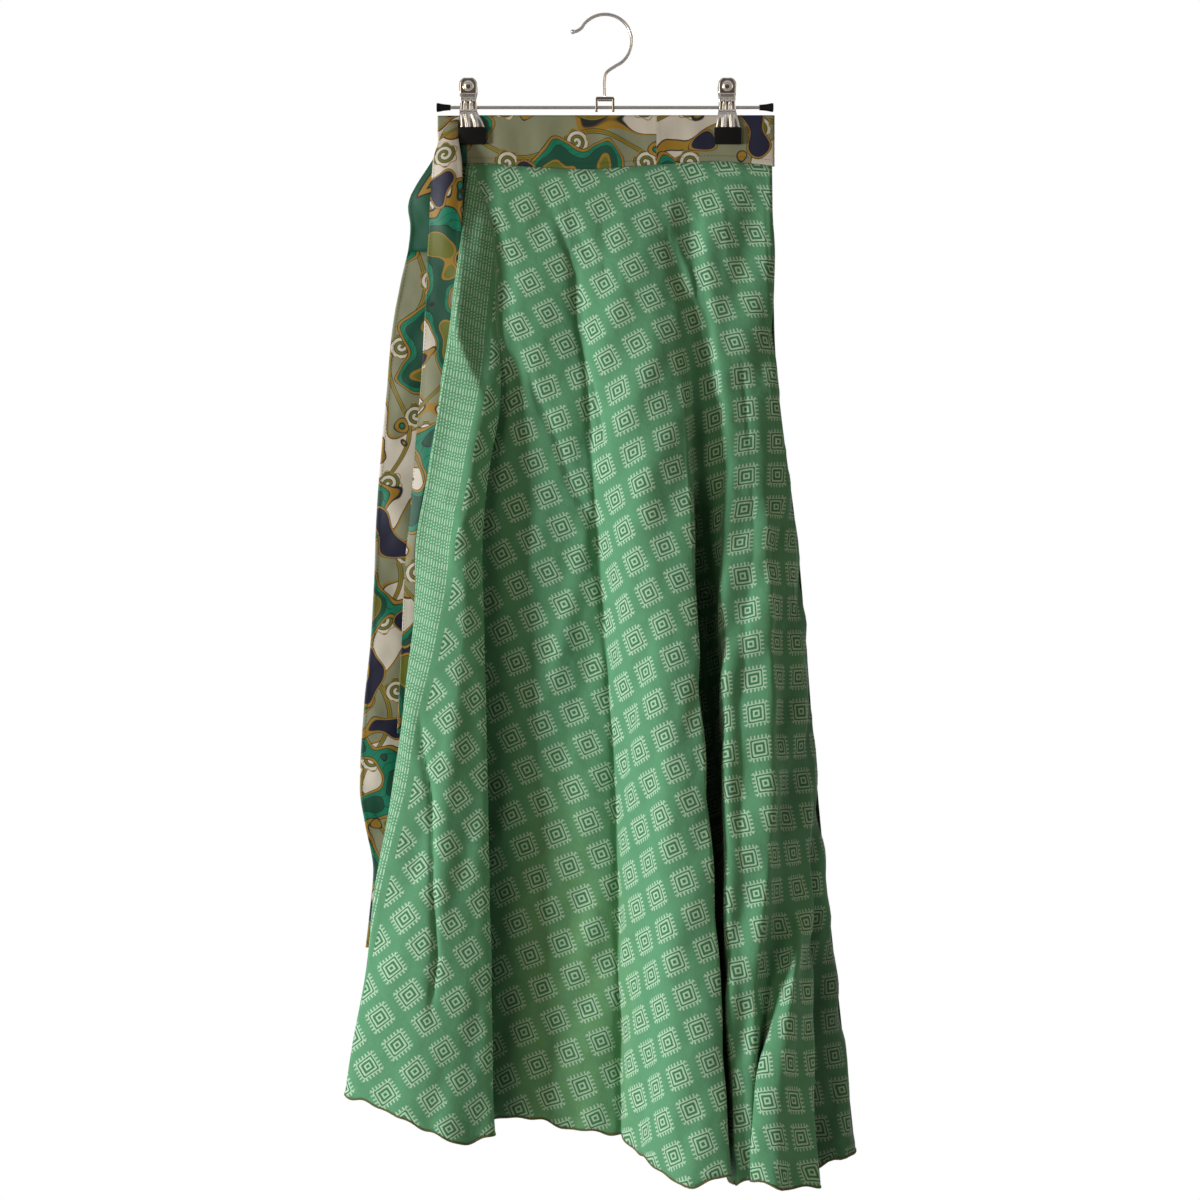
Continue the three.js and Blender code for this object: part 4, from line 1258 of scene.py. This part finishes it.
def bmeshObject(name, mesh, material, smoothed=False):
    data = bpy.data.meshes.new(name)
    mesh.to_mesh(data)
    mesh.free()
    data.polygons.foreach_set("use_smooth", [smoothed] * len(data.polygons))
    data.materials.append(finishes[material])
    return addObject(name, data)


def addRod():
    r, end, z = hanger["rodRadius"], hanger["rodEnd"], hanger["rodHeight"]
    profile = [(-end, r * 0.5), (-end, r), *((x, r) for x in np.linspace(-end + 1, end - 1, 60)),
               (end, r), (end, r * 0.5)]
    place(joined("rod_bar", [turned(profile, 24, "x", (0, 0, z))], "chrome"), "chrome", ["rod"])
    flare = roundedProfile([(0, 2.45), (2.2, 2.6), (6.9, 3.1), (10.2, 3.75), (11.7, 4.0)], 4)
    outline = [(0, 1.8), (0, 2.3), *flare, (12.2, 3.85), (12.5, 3.4), (12.5, 1.5)]
    for side, name in ((-1, "left"), (1, "right")):
        profile = [(side * a, radius) for a, radius in outline][::side]
        shape = turned(profile, 36, "x", (side * (end + hanger["gap"] - 10.5), 0, z))
        place(joined("end_cap_" + name, [shape], "rubber"), "black_rubber", ["rod_cap_" + name])


# z, half width and distance from the middle of the clip
plateRows = [(-56.3, 3.2, 5.3), (-57.6, 5.6, 5.3), (-60.2, 7.4, 5.3), (-63.4, 7.9, 5.3), (-68.8, 7.6, 5.3),
             (-73, 7.1, 3.9), (-78, 7.1, 2.5), (-84.5, 7.5, 2.6), (-88, 8.1, 3.9), (-94, 9.5, 4.3),
             (-100, 10.6, 4.4)]
plate = {"rings": 55, "columns": 48, "curl": 0.5, "bevel": 0.22}
rib = {"place": 0.36, "wide": 0.13, "depth": 0.8, "top": -78}
# of the rivet's head: height over the plate and radius
rivetDome = [(0.05, 5.0), (0.5, 5.05), (0.9, 4.7), (1.35, 3.7), (1.7, 2.2), (1.8, 0.7)]


def addClip(side):
    centre, shift = hanger["clips"][side]
    rows = np.array(plateRows)
    z = np.linspace(rows[0, 0], rows[-1, 0], plate["rings"] + 1)[:, None]
    half, away = (smooth(-rows[:, 0], rows[:, k], -z[:, 0])[:, None] for k in (1, 2))
    toPad = np.clip((-z - 84) / 16, 0, 1)
    middle = centre + shift * toPad**2 * (3 - 2 * toPad)
    at = np.linspace(-1, 1, plate["columns"] + 1)[None]
    ribs = rib["depth"] * np.exp(-((np.abs(at) - rib["place"]) / rib["wide"]) ** 2)
    ribs = ribs * np.clip((rib["top"] + 3 - z) / 6, 0, 1)
    curl = plate["curl"] * np.clip((np.abs(at) - 0.82) / 0.18, 0, 1) ** 2
    for label, facing in (("front", -1), ("back", 1)):
        y = facing * (away + ribs - curl)
        grid = np.stack([middle + at * half, y, np.broadcast_to(z, y.shape)], axis=-1) * mm
        grid = grid[:, ::-facing]
        flat = np.zeros(grid.shape[:2] + (2,))
        piece = sheetObject(f"clip_{side}_{label}_plate", grid, flat, ("chrome",), hanger["plateWall"])
        addBevel(piece, plate["bevel"], 2)
        place(piece, "chrome", [f"clip_{side}_plate_{label}"])
        addPad(side, label, facing, centre + shift)
    under = rows[0, 2] + hanger["plateWall"] / 2
    dome = roundedProfile([(under + high, radius) for high, radius in rivetDome], 3)
    profile = [(-a, r) for a, r in reversed(dome)] + [(-under, 1.6), (under, 1.6)] + dome
    rivet = turned(profile, 32, "y", (centre, 0, hanger["rivetHeight"]))
    place(joined(f"clip_{side}_boss", [rivet], "chrome"), "chrome", [f"clip_{side}_rivet"])


def addPad(side, label, facing, centre):
    wide, high, wall = hanger["padWidth"], hanger["padHeight"], hanger["padWall"]
    away = skirt["bandPitch"] + hanger["bandHalf"] + hanger["gap"] + wall / 2
    middle = plateRows[-1][0] - hanger["gap"] - high / 2
    mesh = bmesh.new()
    bmesh.ops.create_cube(mesh, size=1)
    bmesh.ops.scale(mesh, vec=(wide * mm, wall * mm, high * mm), verts=mesh.verts)
    bmesh.ops.translate(mesh, vec=(centre * mm, facing * away * mm, middle * mm), verts=mesh.verts)

    def bevelEdges(chosen, offset, segments):
        edges = [edge for edge in mesh.edges if chosen(abs(edge.verts[0].co.y - edge.verts[1].co.y))]
        bmesh.ops.bevel(mesh, geom=edges, offset=offset * mm, segments=segments, affect="EDGES", profile=0.5)

    bevelEdges(lambda deep: deep > 1e-4, hanger["padCorner"], 5)
    bevelEdges(lambda deep: deep < 1e-6, hanger["padEdge"], 3)
    place(bmeshObject(f"clip_{side}_{label}_pad", mesh, "rubber", True), "black_rubber",
          [f"clip_{side}_pad_{label}"])


addHook()
addYoke()
addRod()
addClip("left")
addClip("right")
print("hanger made")


def addFloor():
    finish = Finish("floor", {"Specular IOR Level": 0.2})
    cloud = finish.noise(finish.objectPlace(), 3.0, 3.0)
    finish.fill({"Base Color": finish.mix(cloud, (0.80, 0.80, 0.79), (0.84, 0.84, 0.83)),
                 "Roughness": 0.75 + cloud * 0.1})
    half, z = light["floorSize"] / 2, light["floorHeight"]
    mesh = bpy.data.meshes.new("floor")
    mesh.from_pydata([(-half, -half, z), (half, -half, z), (half, half, z), (-half, half, z)], [],
                     [(0, 1, 2, 3)])
    mesh.materials.append(finish.material)
    addObject("floor", mesh)


addFloor()
